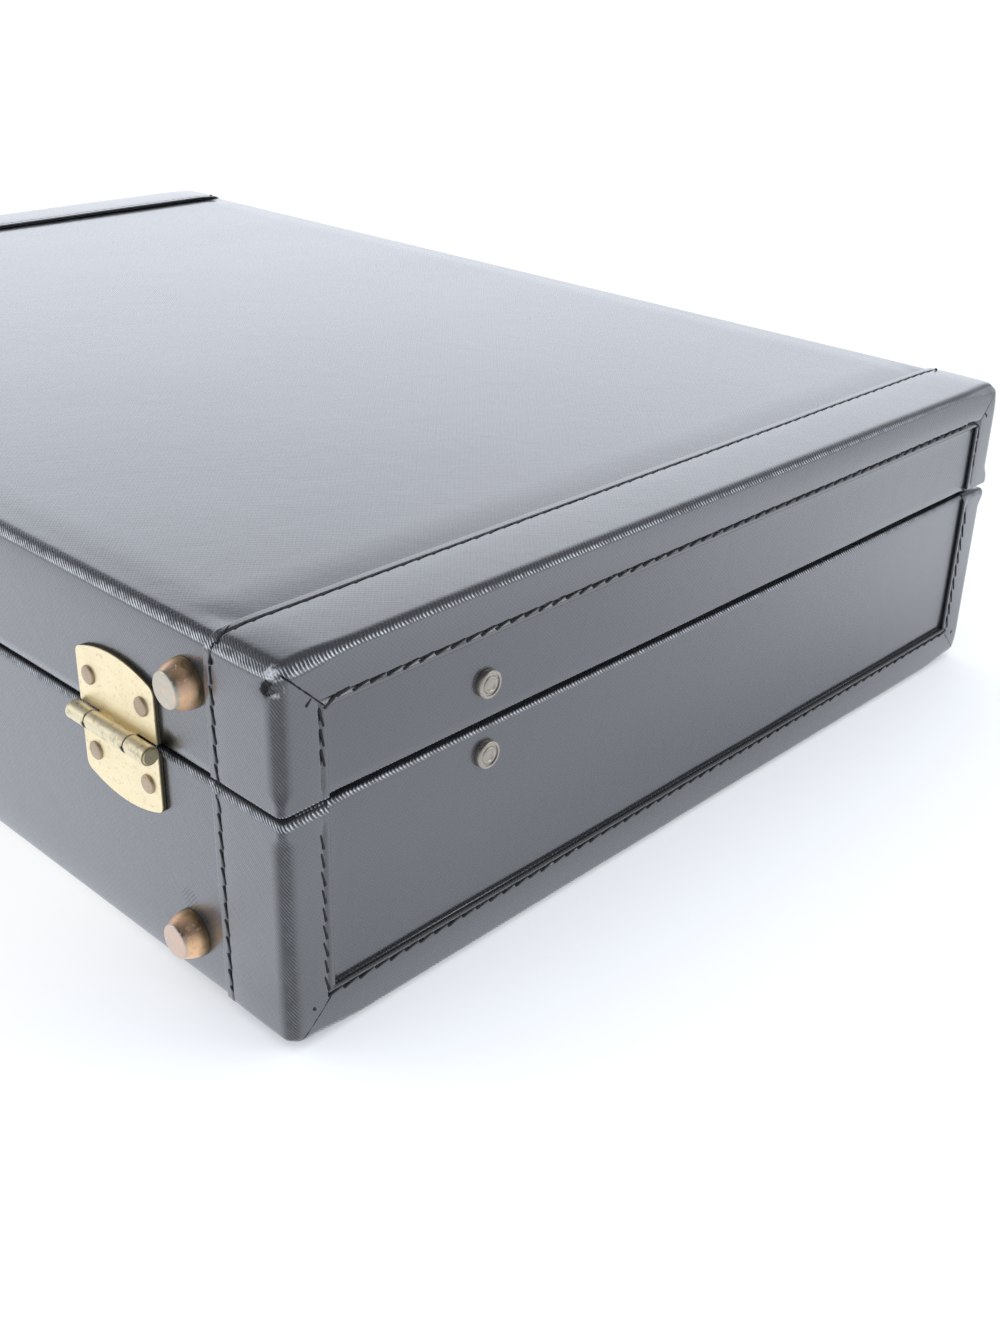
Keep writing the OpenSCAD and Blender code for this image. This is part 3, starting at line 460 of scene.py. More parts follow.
def board_finish(name, colour):
    """Plain board with a long grain."""
    f = Finish(name, Roughness=0.62)
    lay = f.node("ShaderNodeMapping", {}, {"Vector": f.here, "Scale": (9, 90, 160)})
    rings = f.noise(1.6, 6.0, 0.62, at=lay, distortion=1.2)
    fibres = f.noise(9.0, 3.0, 0.6, at=lay)
    base = f.ramp(rings * 0.75 + fibres * 0.25,
                  [(0.3, shade(colour, 0.55)), (0.5, colour), (0.72, shade(colour, 1.35))])
    return f.feed(Base_Color=base, Normal=f.bump(fibres, 0.08 * MM))


def finish(name):
    return bpy.data.materials[name]


def make_finishes():
    colours = settings().colours
    leather_finish("cover_leather", colours.leather)
    leather_finish("edge_leather", colours.band, worn=True)
    # The lip in the split gap gets the main leather at 0.55 of its colour, as painted shade
    leather_finish("lip_leather", shade(colours.leather, 0.55))
    thread_finish("black_thread", colours.thread)
    metal_finish("pale_brass", colours.brass, (0.30, 0.23, 0.13), 0.30, 0.18)
    metal_finish("hinge_brass", colours.brass, (0.30, 0.23, 0.13), 0.30, 0.18, hinge=True)
    metal_finish("aged_brass", shade(colours.brass, 0.82), (0.16, 0.12, 0.07), 0.34, 0.45)
    metal_finish("worn_copper", colours.copper, (0.14, 0.10, 0.07), 0.36, 0.55, (0, 1, 0))
    metal_finish("worn_foot_lid", shade(colours.copper, 2.3), (0.40, 0.25, 0.15), 0.30, 0.40, (0, 1, 0),
                 tip=(0.50, 0.49, 0.41))
    metal_finish("worn_foot_base", shade(colours.copper, 2.4), (0.42, 0.28, 0.16), 0.30, 0.42, (0, 1, 0),
                 tip=(0.62, 0.50, 0.42))
    metal_finish("worn_bronze", (0.52, 0.41, 0.29), (0.16, 0.12, 0.09), 0.36, 0.38, (0, 0, 1))
    metal_finish("worn_nickel", colours.nickel, (0.14, 0.12, 0.10), 0.30, 0.40, (0, 0, 1))
    lining_finish("brown_lining", colours.lining)
    board_finish("carcass_board", colours.board)


def new_piece(name, mesh, material, body, replaced=()):
    """Adds a finished mesh to the case, on the body that it rides on, and hides the nodes that it stands
    for.
    """
    piece = bpy.data.objects.new(name, mesh)
    bpy.context.scene.collection.objects.link(piece)
    if material:
        mesh.materials.clear()
        mesh.materials.append(finish(material))
    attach(piece, body)
    if replaced:
        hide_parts(*replaced)
    return piece


def body_of(node):
    return next(b for b, nodes in frame["record"]["behaviour"]["bodies"].items() if node in nodes)


def spaced(first, last, step, *fine):
    """Values between two, a step apart, and closer near each fine (place, reach, step)."""
    low, high = sorted((first, last))
    values = {low, high}
    values.update(np.linspace(low, high, max(2, round((high - low) / step) + 1)))
    for place, reach, close in fine:
        start, stop = max(low, place - reach), min(high, place + reach)
        if stop > start:
            values.update(np.linspace(start, stop, max(2, round((stop - start) / close) + 1)))
    ordered = sorted(values)
    kept = [ordered[0]]
    for value in ordered[1:]:
        if value - kept[-1] > 0.04 * MM:
            kept.append(value)
    kept[-1] = ordered[-1]
    return np.array(kept)


def ripple(points, size, seed):
    """Smooth noise between -1 and 1 whose waves are of a size, the same every run."""
    draw = np.random.default_rng(seed)
    total = np.zeros(len(points))
    for _ in range(9):
        direction = draw.normal(size=3)
        direction /= np.linalg.norm(direction)
        wave = size * draw.uniform(0.6, 1.8)
        total += np.sin(points @ direction * (2 * math.pi / wave) + draw.uniform(0, 2 * math.pi))
    return np.clip(total / 4.5, -1, 1)


def smooth(values):
    """Rises smoothly from 0 at 0 to 1 at 1."""
    values = np.clip(values, 0, 1)
    return values * values * (3 - 2 * values)


class Half:
    """The base or the lid: its rounded skin at any depth below the bands' outer face."""

    def __init__(self, body, far, rim):
        sizes = settings().case
        self.body, self.far, self.rim = body, far, rim
        self.up = 1 if rim > far else -1
        self.border = sizes.border_base if self.up > 0 else sizes.border_lid
        self.rim_radius = sizes.base_rim_radius if self.up > 0 else sizes.lid_rim_radius

    def rounded(self, points, depth, rise=0.0):
        """Points of the sharp box at a depth, moved on to the rounded skin, and their normals."""
        sizes = settings().case
        corner = smooth((np.abs(points[:, 1]) - OUT_Y + 24 * MM) / (19 * MM))
        radius = sizes.end_edge_radius + (sizes.edge_radius - sizes.end_edge_radius) * corner - depth
        rim_radius = self.rim_radius + rise
        bottom = self.far + self.up * (depth + radius)
        top = np.full(len(points), self.rim + self.up * (rise - rim_radius))
        near_far = smooth(1.6 - np.abs(points[:, 2] - self.far) / (5 * MM))
        near_rim = smooth(1.6 - np.abs(points[:, 2] - self.rim) / (4 * MM))
        stretch = np.stack([1 + 0.5 * (1 - corner), 1 + 0.2 * near_far], 1) * (1 - 0.5 * near_rim)[:, None]
        reach = np.array([OUT_X - depth, OUT_Y - depth]) - radius[:, None] * stretch
        low = np.concatenate([-reach, np.minimum(bottom, top)[:, None]], 1)
        high = np.concatenate([reach, np.maximum(bottom, top)[:, None]], 1)
        core = np.clip(points, low, high)
        out = points - core
        at_rim = out[:, 2] * self.up > 1e-9
        squeeze = np.concatenate([stretch, np.where(at_rim, rim_radius / radius, 1.0)[:, None]], 1)
        out /= squeeze
        length = np.linalg.norm(out, axis=1, keepdims=True)
        out *= radius[:, None] / np.maximum(length, 1e-12)
        normals = out / squeeze
        normals /= np.maximum(np.linalg.norm(normals, axis=1, keepdims=True), 1e-12)
        return core + out * squeeze, normals

    def z_far(self, depth=0.0):
        return self.far + self.up * depth

    def z_rim(self, rise=0.0):
        return self.rim + self.up * rise


def patch(axis, place, first, second, outward):
    """Grid on a plane across an axis. Returns its points and its faces, which look outward."""
    a, b = np.meshgrid(first, second, indexing="ij")
    points = np.zeros((a.size, 3))
    others = [i for i in range(3) if i != axis]
    points[:, axis] = place
    points[:, others[0]] = a.ravel()
    points[:, others[1]] = b.ravel()
    rows, columns = len(first), len(second)
    i, j = np.meshgrid(np.arange(rows - 1), np.arange(columns - 1), indexing="ij")
    corner = (i * columns + j).ravel()
    faces = np.stack([corner, corner + columns, corner + columns + 1, corner + 1], 1)
    turns = 1 if axis != 1 else -1
    if turns * outward < 0:
        faces = faces[:, ::-1]
    return points, faces


def without(points, faces, inside):
    """Drops the faces whose middle is inside."""
    middle = points[faces].mean(axis=1)
    return faces[~inside(middle)]


def joined(patches):
    """One set of points and faces from several."""
    points, faces, start = [], [], 0
    for p, f in patches:
        points.append(p)
        faces.append(f + start)
        start += len(p)
    return np.concatenate(points), np.concatenate(faces)


@contextmanager
def shell_of(mesh):
    """The mesh's shell, to be changed, which then goes back into the mesh with smooth faces."""
    shell = bmesh.new()
    shell.from_mesh(mesh)
    yield shell
    for face in shell.faces:
        face.smooth = True
    shell.to_mesh(mesh)
    shell.free()


def new_mesh(name, points, edges=(), faces=()):
    mesh = bpy.data.meshes.new(name)
    mesh.from_pydata(np.asarray(points).tolist(), list(edges), list(faces))
    return mesh


def store(mesh, name, values):
    """Stores a number or a vector for each point of a mesh."""
    values = np.asarray(values, dtype=np.float32)
    kind, key = ("FLOAT", "value") if values.ndim == 1 else ("FLOAT_VECTOR", "vector")
    mesh.attributes.new(name, kind, "POINT").data.foreach_set(key, values.ravel())


def leather_mesh(name, points, faces, normals, side=-1, seam=0.0):
    """Leather on its side of the case, its doubles merged and its loose points dropped."""
    if side > 0:
        points, faces = points * (-1, 1, 1), faces[:, ::-1]
    mesh = new_mesh(name, points, faces=faces.tolist())
    for key, values in (("seam", seam), ("bend", bend(normals)), ("scuff", scuff(normals))):
        store(mesh, key, values * np.ones(len(points)))
    with shell_of(mesh) as shell:
        bmesh.ops.remove_doubles(shell, verts=shell.verts, dist=0.012 * MM)
        loose = [v for v in shell.verts if not v.link_faces]
        bmesh.ops.delete(shell, geom=loose, context="VERTS")
    return mesh


def bend(normals):
    """How far the leather is bent over an edge at each point, from 0 to 1."""
    return np.clip((0.985 - np.abs(normals).max(axis=1)) / 0.12, 0, 1)


def scuff(normals):
    """How far the leather faces upward at a slant, as on its rounded edges, from 0 to 1: where its grain
    ridges get painted glints.
    """
    rise = np.degrees(np.arctan2(np.abs(normals[:, 2]), np.hypot(normals[:, 0], normals[:, 1])))
    return np.clip((rise - 8) / 10, 0, 1) * np.clip((60 - rise) / 14, 0, 1)


def window_distance(half, points):
    """Distance outside the window of an end border, negative inside it."""
    sizes = settings().case
    beside = np.abs(points[:, 1]) - (OUT_Y - sizes.border_side)
    beyond = half.up * (half.far + half.up * half.border - points[:, 2])
    return np.maximum(beside, beyond)


def seam_relief(distance, inset, border, noise, stitched):
    """Depth below a band's face, and how dull and dark it is, by distance from the free edge: dark as
    painted shade in the stitch groove, and on the rounded free edge partly as dark edge finish and partly
    as painted shade.
    """
    sizes = settings().case
    turn = np.where(border, 0.65, 0.5) * MM
    width = np.where(border, 0.5, 0.32) * MM
    edge = np.clip(turn - distance, 0, turn)
    rounding = turn - np.sqrt(np.maximum(turn * turn - edge * edge, 0))
    groove = stitched * np.exp(-(((distance - inset) / width) ** 2))
    dip = np.exp(-(((distance - inset) / (2.2 * MM)) ** 2)) * 0.3 * (distance > inset)
    depth = rounding + sizes.seam_depth * (groove * (0.8 + 0.3 * noise) * np.where(border, 1, 0.7) + dip)
    dull_edge_and_shade = np.clip((turn - distance) / (0.5 * MM), 0, 1) * np.where(border, 0.75, 0.4)
    return depth, np.maximum(groove * np.where(border, 0.3, 0.15), dull_edge_and_shade)


def slow_waves(half, points):
    """Depth of the slow waves in a band."""
    return settings().case.swell * (0.5 + 0.5 * ripple(points, 60 * MM, 11 + int(half.up)))


def shoulder(half, normals, inward, share=1.0):
    """Depth by which the padding under the leather falls away towards an edge."""
    upright = np.clip(-half.up * normals[:, 2], 0, 1) ** 2
    return settings().case.shoulder * share * upright * np.clip(1 - inward / SHOULDER_REACH, 0, 1) ** 2


def side_fall(half, points, normals):
    """Depth by which the sides fall away towards the top or bottom edge, under the soft leather."""
    below = np.abs(points[:, 2] - half.far)
    slope = np.clip(1 - below / SIDE_REACH, 0, 1) ** 2
    return settings().case.side_fall * (1 - normals[:, 2] ** 2) * slope


def corner_dent(points):
    """Depth of the knock in the corner of the lid that stands on the hinge side."""
    total = np.zeros(len(points))
    for place, depth, size in KNOCKS:
        away = np.linalg.norm(points - place, axis=1)
        total += depth * np.exp(-((away / size) ** 2))
    return total


def band_mesh(half, side):
    """Leather band over one end: a strip round three sides and a mitred border on the end face."""
    sizes = settings().case
    step = 1.3 * MM
    seam = [(sizes.seam_inset, 1.3 * MM, 0.2 * MM), (0.0, 0.8 * MM, 0.16 * MM)]
    radius = sizes.edge_radius

    def near(edge, direction, places):
        return [(edge + direction * place, reach, close) for place, reach, close in places]

    rounding = 0.55 * MM
    x_free = -OUT_X + BAND_W + sizes.ridge
    xs = spaced(-OUT_X, x_free, 2.5 * MM, *near(x_free, -1, seam),
                (x_free - sizes.seam_inset - sizes.ridge, 1.1 * MM, 0.2 * MM), (-OUT_X, radius, rounding))
    y_free = OUT_Y - sizes.border_side
    ys = spaced(-OUT_Y, OUT_Y, step, *near(y_free, 1, seam), *near(-y_free, -1, seam),
                (OUT_Y, radius, rounding), (-OUT_Y, radius, rounding))
    z_free = half.far + half.up * half.border
    z_rim = half.z_rim(BAND_FOLD)
    zs = spaced(half.far, z_rim, step, *near(z_free, -half.up, seam),
                (half.far, radius, rounding), (z_rim, radius, rounding))
    ins = spaced(0.0, TURN_IN, 1.2 * MM, (0.0, radius, rounding))
    y_ins = np.concatenate([-OUT_Y + ins, (OUT_Y - ins)[::-1]])

    def in_window(middle):
        return window_distance(half, middle) < 0

    end, faces = patch(0, -OUT_X, ys, zs, -1)
    pieces = [(end, without(end, faces, in_window))]
    pieces.append(patch(2, half.far, xs, ys, -half.up))
    for y in (-1, 1):
        pieces.append(patch(1, y * OUT_Y, xs, zs, y))
    rim, faces = patch(2, z_rim, np.union1d(xs, -OUT_X + ins), np.union1d(ys, y_ins), half.up)

    def off_rim(middle):
        return np.minimum(OUT_X + middle[:, 0], OUT_Y - np.abs(middle[:, 1])) > TURN_IN

    def off_window(middle):
        in_band_end = (np.abs(middle[:, 1]) < y_free) & (middle[:, 0] < -OUT_X + TURN_IN)
        return off_rim(middle) | in_band_end

    pieces.append((rim, without(rim, faces, off_window)))
    points, faces = joined(pieces)

    on_end = points[:, 0] < -OUT_X + 1e-6
    from_edge = np.where(on_end, window_distance(half, points), x_free - points[:, 0])
    skin, normals = half.rounded(points, 0.0, BAND_FOLD)
    noise = ripple(points, 4 * MM, 7)
    inset = sizes.seam_inset + np.where(on_end, 0.0, sizes.ridge)
    stitched = np.clip((half.up * (z_rim - points[:, 2]) - half.rim_radius - 1.5 * MM) / (1.5 * MM), 0, 1)
    depth, groove = seam_relief(from_edge, inset, on_end, noise, stitched)
    depth = depth + side_fall(half, points, normals)
    on_rim = np.abs(points[:, 2] - z_rim) < 1e-6
    inward = np.minimum(OUT_X + points[:, 0], OUT_Y - np.abs(points[:, 1]))
    sink = np.clip((inward - radius) / (TURN_IN - radius), 0, 1) * (BAND_FOLD + 0.5 * MM)
    depth = np.where(on_rim, sink, depth)
    groove = np.where(on_rim, 0.0, groove)
    # Painted shadow: along the base's lower end border the free edge and its groove are made fully dark
    # and dull
    under_panel = half.up * (half.far + half.up * half.border - points[:, 2]) > -1e-6
    groove = np.where(on_end & under_panel & (half.up > 0),
                      np.maximum(groove, np.clip(1.5 - from_edge / (0.9 * MM), 0, 1)), groove)
    depth = depth + slow_waves(half, points) + corner_dent(points)
    depth = depth + shoulder(half, normals, OUT_Y - np.abs(points[:, 1])) + BAND_SINK
    depth = depth + shoulder(half, normals, OUT_X + points[:, 0], 0.3)
    skin = skin - normals * depth[:, None]
    return leather_mesh("band", skin, faces, normals, side, groove)


def cover_mesh(half):
    """Main leather of one half, from rim to rim between the ends, turned in over the rails."""
    sizes = settings().case
    depth = BAND_T
    radius = sizes.edge_radius - depth
    rounding = 0.5 * MM
    reach = OUT_X - depth - radius - 1 * MM
    slope = (SHOULDER_REACH, 1.7 * MM)
    xs = spaced(-reach, reach, 4.0 * MM, (BAND_W - OUT_X, *slope), (OUT_X - BAND_W, *slope))
    edge = OUT_Y - depth
    ys = spaced(-edge, edge, 4.0 * MM, (edge, *slope), (-edge, *slope),
                (edge, radius, rounding), (-edge, radius, rounding))
    z_far, z_rim = half.z_far(depth), half.z_rim()
    zs = spaced(z_far, z_rim, 3.0 * MM, (z_far, radius, rounding),
                (z_rim, half.rim_radius, rounding * 0.5))
    pieces = [patch(2, z_far, xs, ys, -half.up)]
    for y in (-1, 1):
        pieces.append(patch(1, y * edge, xs, zs, y))
        strip = spaced(y * IN_Y, y * edge, 2.0 * MM, (y * edge, radius, rounding))
        pieces.append(patch(2, z_rim, xs, strip, half.up))
    points, faces = joined(pieces)
    skin, normals = half.rounded(points, depth)
    swell = sizes.swell * (0.6 + 0.4 * ripple(points, 70 * MM, 21 + int(half.up)))
    beside = np.clip(OUT_X - BAND_W - np.abs(points[:, 0]), 0, None)
    swell = swell + shoulder(half, normals, edge - np.abs(points[:, 1]))
    swell = swell + shoulder(half, normals, beside, 0.9) + side_fall(half, points, normals)
    most = (0.66 + 0.44 * np.clip((edge - np.abs(points[:, 1]) - 7 * MM) / (4 * MM), 0, 1)) * MM
    swell = swell / (1 + (swell / most) ** 4) ** 0.25
    skin = skin - normals * swell[:, None]
    return leather_mesh("cover", skin, faces, normals)


def end_panel_mesh(half, side):
    """Leather of an end face, set back inside the border and turned in over the rail."""
    sizes = settings().case
    depth = BAND_T + sizes.panel_depth
    radius = sizes.edge_radius - depth
    rounding = 0.5 * MM
    edge = OUT_Y - depth - radius - 1 * MM
    ys = spaced(-edge, edge, 3.0 * MM, (OUT_Y - sizes.border_side, 2 * MM, 0.5 * MM),
                (-OUT_Y + sizes.border_side, 2 * MM, 0.5 * MM))
    z_far, z_rim = half.z_far(depth + radius + 1 * MM), half.z_rim()
    z_free = half.far + half.up * half.border
    zs = spaced(z_far, z_rim, 3.0 * MM, (z_rim, half.rim_radius, rounding * 0.5),
                (z_free, 2 * MM, 0.5 * MM))
    pieces = [patch(0, -OUT_X + depth, ys, zs, -1)]
    strip = spaced(-OUT_X + depth, -IN_X, 2.0 * MM, (-OUT_X + depth, radius, rounding))
    pieces.append(patch(2, z_rim, strip, ys, half.up))
    points, faces = joined(pieces)
    skin, normals = half.rounded(points, depth)
    swell = sizes.swell * (0.5 + 0.5 * ripple(points, 50 * MM, 31 + int(half.up)))
    inside = np.clip(-window_distance(half, points), 0, None)
    tuck = 0.14 * MM * np.exp(-((inside / (1.6 * MM)) ** 2))
    under = np.clip((window_distance(half, points) + 0.1 * MM) / (0.9 * MM), 0, 1)
    swell = swell + tuck - under * (sizes.panel_depth + 0.25 * MM)
    flush = np.clip(1 - inside / (3.5 * MM), 0, 1) ** 2
    low = np.clip(1 - half.up * (points[:, 2] - z_free) / (3.5 * MM), 0, 1) ** 2 * (half.up > 0)
    raised = np.maximum(low * 0.4, flush * 0.8 * (1 - low)) * sizes.panel_depth
    swell = swell - np.where(under > 0, 0, raised)
    skin = skin - normals * swell[:, None]
    return leather_mesh("end_panel", skin, faces, normals, side)


def halves():
    return Half("base", 0.0, BASE_RIM), Half("lid", TOP, LID_RIM)


def leather_piece(half, part, mesh, material, slot, thickness):
    """Adds a sheet of leather in place of a node, and gives it its thickness on the inside."""
    node = f"{half.body}_{part}"
    piece = new_piece(f"{node}_leather", mesh, material, half.body, [node])
    wall = piece.modifiers.new("wall", "SOLIDIFY")
    wall.thickness = thickness
    wall.offset = -1
    wall.use_even_offset = False


class CASE_OT_leather(bpy.types.Operator):
    """Make the leather of base and lid: covers, end panels and end bands"""

    bl_idname = "case.leather"
    bl_label = "Leather"

    def execute(self, context):
        main = ("cover_leather", "leather", 1.0 * MM)
        band = ("edge_leather", "band_leather", BAND_T + 0.15 * MM)
        for half in halves():
            leather_piece(half, "cover", cover_mesh(half), *main)
            for name, side in SIDES.items():
                leather_piece(half, f"end_panel_{name}", end_panel_mesh(half, side), *main)
                leather_piece(half, f"band_{name}", band_mesh(half, side), *band)
        return {"FINISHED"}


def seam_paths(half):
    """Lines of the stitches of one band, as points of the sharp box, and its single stitches."""
    sizes = settings().case
    lid = half.up < 0
    rim = half.z_rim(-(half.rim_radius + 2.0 * MM))
    x = -OUT_X + BAND_W - sizes.seam_inset
    y = OUT_Y - sizes.border_side + sizes.seam_inset + (-0.2 if lid else 0.8) * MM
    z = half.far + half.up * (half.border - sizes.seam_inset)
    run = y - (11.4 if lid else 2.6) * MM
    low = z + half.up * (4.0 if lid else 3.6) * MM
    high = half.rim - half.up * (10.7 if lid else 8.5) * MM
    paths = [
        [(x, OUT_Y, rim), (x, OUT_Y, half.far), (x, -OUT_Y, half.far), (x, -OUT_Y, rim)],
        [(-OUT_X, run, z), (-OUT_X, -run, z)]]
    corner = (((4.6, 1.0), (1.0, 5.8)),)
    if lid:
        corner = (((4.4, 0.3), (-0.1, 4.5)), ((-0.6, -1.8), (-4.4, 0.2)), ((-4.5, 0.0), (-8.3, 0.7)))
    singles = []
    for s in (1, -1):
        paths.append([(-OUT_X, s * y, low), (-OUT_X, s * y, high)])
        singles += [[(-OUT_X, s * (y + out * MM), z - half.up * off * MM) for out, off in ends]
                    for ends in corner]
    return [np.array(path) for path in paths], [np.array(ends) for ends in singles]


def dense(path, step):
    """The path with points about a step apart."""
    runs = []
    for start, stop in zip(path[:-1], path[1:]):
        count = max(1, int(np.linalg.norm(stop - start) / step))
        runs.append(start + (stop - start) * np.arange(count)[:, None] / count)
    runs.append(path[-1:])
    return np.concatenate(runs)


def laid(half, side, sharp, depth):
    """Points of the sharp box laid in the leather at a depth, and the way it faces there."""
    skin, out = half.rounded(sharp, 0.0)
    turning = np.clip((0.985 - np.abs(out).max(axis=1)) / 0.03, 0, 1)
    before = (np.abs(sharp[:, 2] - half.far) - 6 * MM) / (2.5 * MM)
    turning = turning + np.exp(-before * before) * (np.abs(out[:, 2]) < 0.7)
    depth = depth + 0.4 * MM * np.minimum(turning, 1) + slow_waves(half, sharp)
    depth = depth + shoulder(half, out, OUT_Y - np.abs(sharp[:, 1])) + BAND_SINK
    depth = depth + shoulder(half, out, OUT_X + sharp[:, 0], 0.3)
    depth = depth + side_fall(half, sharp, out)
    skin = skin - out * depth[:, None]
    return skin * (-side, 1, 1), out * (-side, 1, 1)


def path_mesh(half, side, paths):
    """Edges along the seams, with the way that the leather faces at each point."""
    points, normals, edges, sizes = [], [], [], []
    for path in paths:
        skin, out = laid(half, side, dense(path, 0.7 * MM), 0.19 * MM)
        edges += [(i, i + 1) for i in range(len(points), len(points) + len(skin) - 1)]
        points += list(skin)
        normals += list(out)
        strip = np.where(np.abs(out[:, 2]) > 0.7, TOP_THREAD, SIDE_THREAD)
        sizes += list(strip if path is paths[0] else np.full(len(skin), BORDER_THREAD))
    mesh = new_mesh("seam", points, edges)
    store(mesh, "facing", normals)
    store(mesh, "size", sizes)
    return mesh


def single_mesh(half, side, singles):
    """One point for each single stitch, with the way it runs and faces, and its length."""
    ends = [laid(half, side, pair, 0.24 * MM) for pair in singles]
    mesh = new_mesh("single", [skin.mean(axis=0) for skin, _ in ends])
    store(mesh, "facing", [out[0] for _, out in ends])
    store(mesh, "run", [(skin[1] - skin[0]) * 1.12 for skin, _ in ends])
    store(mesh, "size", [CROSS_THREAD] * len(ends))
    return mesh


class Growth(Tree):
    """A Geometry Nodes tree being built, with named inputs."""

    def __init__(self, name):
        super().__init__(bpy.data.node_groups.new(name, "GeometryNodeTree"))
        for way in ("INPUT", "OUTPUT"):
            self.tree.interface.new_socket("Geometry", in_out=way, socket_type="NodeSocketGeometry")
        self.source = self.tree.nodes.new("NodeGroupInput")
        self.result = self.tree.nodes.new("NodeGroupOutput")
        self.geometry = Flow(self, self.source.outputs["Geometry"])

    def setting(self, name, kind):
        """A named input of the tree."""
        self.tree.interface.new_socket(name, in_out="INPUT", socket_type=f"NodeSocket{kind}")
        return Flow(self, self.source.outputs[name])

    def stored(self, name, kind="FLOAT_VECTOR"):
        """What the mesh stores under a name."""
        return self.node("GeometryNodeInputNamedAttribute", {"data_type": kind}, {"Name": name})

    def chance(self, low, high, seed):
        """A random number for each copy."""
        return self.node("FunctionNodeRandomValue", {"data_type": "FLOAT"},
                         {"Min": low, "Max": high, "Seed": seed}, "Value")

    def copies(self, spots, shape, stand, spin, material, scale=(1, 1, 1)):
        """Ends the tree: an object's copies on spots, spun where they stand, with their material."""
        turn = self.node("ShaderNodeCombineXYZ", {}, {"Z": spin})
        turned = self.node("FunctionNodeRotateRotation", {"rotation_space": "LOCAL"},
                           {"Rotation": stand, "Rotate By": turn})
        seen = self.node("GeometryNodeObjectInfo", {}, {"Object": shape}, "Geometry")
        placed = self.node("GeometryNodeInstanceOnPoints", {}, {
            "Points": spots, "Instance": seen, "Rotation": turned, "Scale": scale})
        real = self.node("GeometryNodeRealizeInstances", {}, {"Geometry": placed})
        made = self.node("GeometryNodeSetMaterial", {}, {"Geometry": real, "Material": material})
        self.tree.links.new(made.socket, self.result.inputs[0])
        return self

    def grown(self, name, mesh, values):
        """The plain mesh that the tree makes of a mesh, with the values of its named inputs."""
        source = bpy.data.objects.new(name, mesh)
        bpy.context.scene.collection.objects.link(source)
        growth = source.modifiers.new("growth", "NODES")
        growth.node_group = self.tree
        for item in self.tree.interface.items_tree:
            if item.item_type == "SOCKET" and item.in_out == "INPUT" and item.name in values:
                growth[item.identifier] = values[item.name]
        seen = source.evaluated_get(bpy.context.evaluated_depsgraph_get())
        made = bpy.data.meshes.new_from_object(seen)
        source.modifiers.remove(growth)
        bpy.data.objects.remove(source)
        return made


def hidden_object(name, mesh):
    """An object that a tree copies, which isn't part of the scene."""
    return bpy.data.objects.new(name, mesh)


def tube_mesh(name, centres, radii, sides):
    """Closed tube along X through centres (x, z), with a radius at each."""
    turns = np.arange(sides) * (2 * math.pi / sides)
    points = np.concatenate([
        np.stack([np.full(sides, x), radius * np.cos(turns), z + radius * np.sin(turns)], 1)
        for (x, z), radius in zip(centres, radii)])
    faces = []
    for start in range(0, len(points) - sides, sides):
        for i in range(sides):
            j = (i + 1) % sides
            faces.append((start + i, start + j, start + sides + j, start + sides + i))
    faces.append(tuple(range(sides))[::-1])
    faces.append(tuple(range(len(points) - sides, len(points))))
    mesh = new_mesh(name, points, faces=faces)
    with shell_of(mesh) as shell:
        bmesh.ops.recalc_face_normals(shell, faces=shell.faces)
    return mesh


def stitch_shape():
    """One stitch, one unit long and thick: thread that rises out of one hole and dips into the next."""
    places = np.array([-0.5, -0.46, -0.36, -0.18, 0.0, 0.18, 0.36, 0.46, 0.5])
    heights = 0.12 - 1.0 * np.abs(places * 2) ** 10
    radii = 0.44 - 0.1 * np.abs(places * 2) ** 4 + 0.3 * np.clip(-places * 3 - 0.5, 0, 1)
    return tube_mesh("stitch", list(zip(places, heights)), radii, 6)


def stitch_tree(single):
    """Stitches along the edges of a mesh, or one on each of its points, laid on the leather."""
    g = Growth("single_stitches" if single else "stitches")
    pitch, length, width, thickness, slant = [
        g.setting(name, "Float") for name in ("Pitch", "Length", "Width", "Thickness", "Slant")]
    seed, shape = g.setting("Seed", "Int"), g.setting("Stitch", "Object")
    thread = g.setting("Material", "Material")
    if single:
        spots = g.node("GeometryNodeMeshToPoints", {}, {"Mesh": g.geometry})
        along = g.stored("run")
        long = g.vector("LENGTH", {0: along}, "Value")
    else:
        line = g.node("GeometryNodeMeshToCurve", {}, {"Mesh": g.geometry})
        spots = g.node("GeometryNodeResampleCurve", {"mode": "LENGTH"}, {"Curve": line, "Length": pitch})
        along = g.node("GeometryNodeInputTangent")
        long = length * g.chance(0.9, 1.06, seed)
        slant = slant + g.chance(-0.06, 0.06, seed)
    lying = g.node("FunctionNodeAlignRotationToVector", {"axis": "X"}, {"Vector": along})
    upright = g.node("FunctionNodeAlignRotationToVector", {"axis": "Z", "pivot_axis": "X"},
                     {"Rotation": lying, "Vector": g.stored("facing")})
    size = g.stored("size", "FLOAT")
    scale = g.node("ShaderNodeCombineXYZ", {}, {"X": long, "Y": width * size, "Z": thickness * size})
    return g.copies(spots, shape, upright, slant, thread, scale)


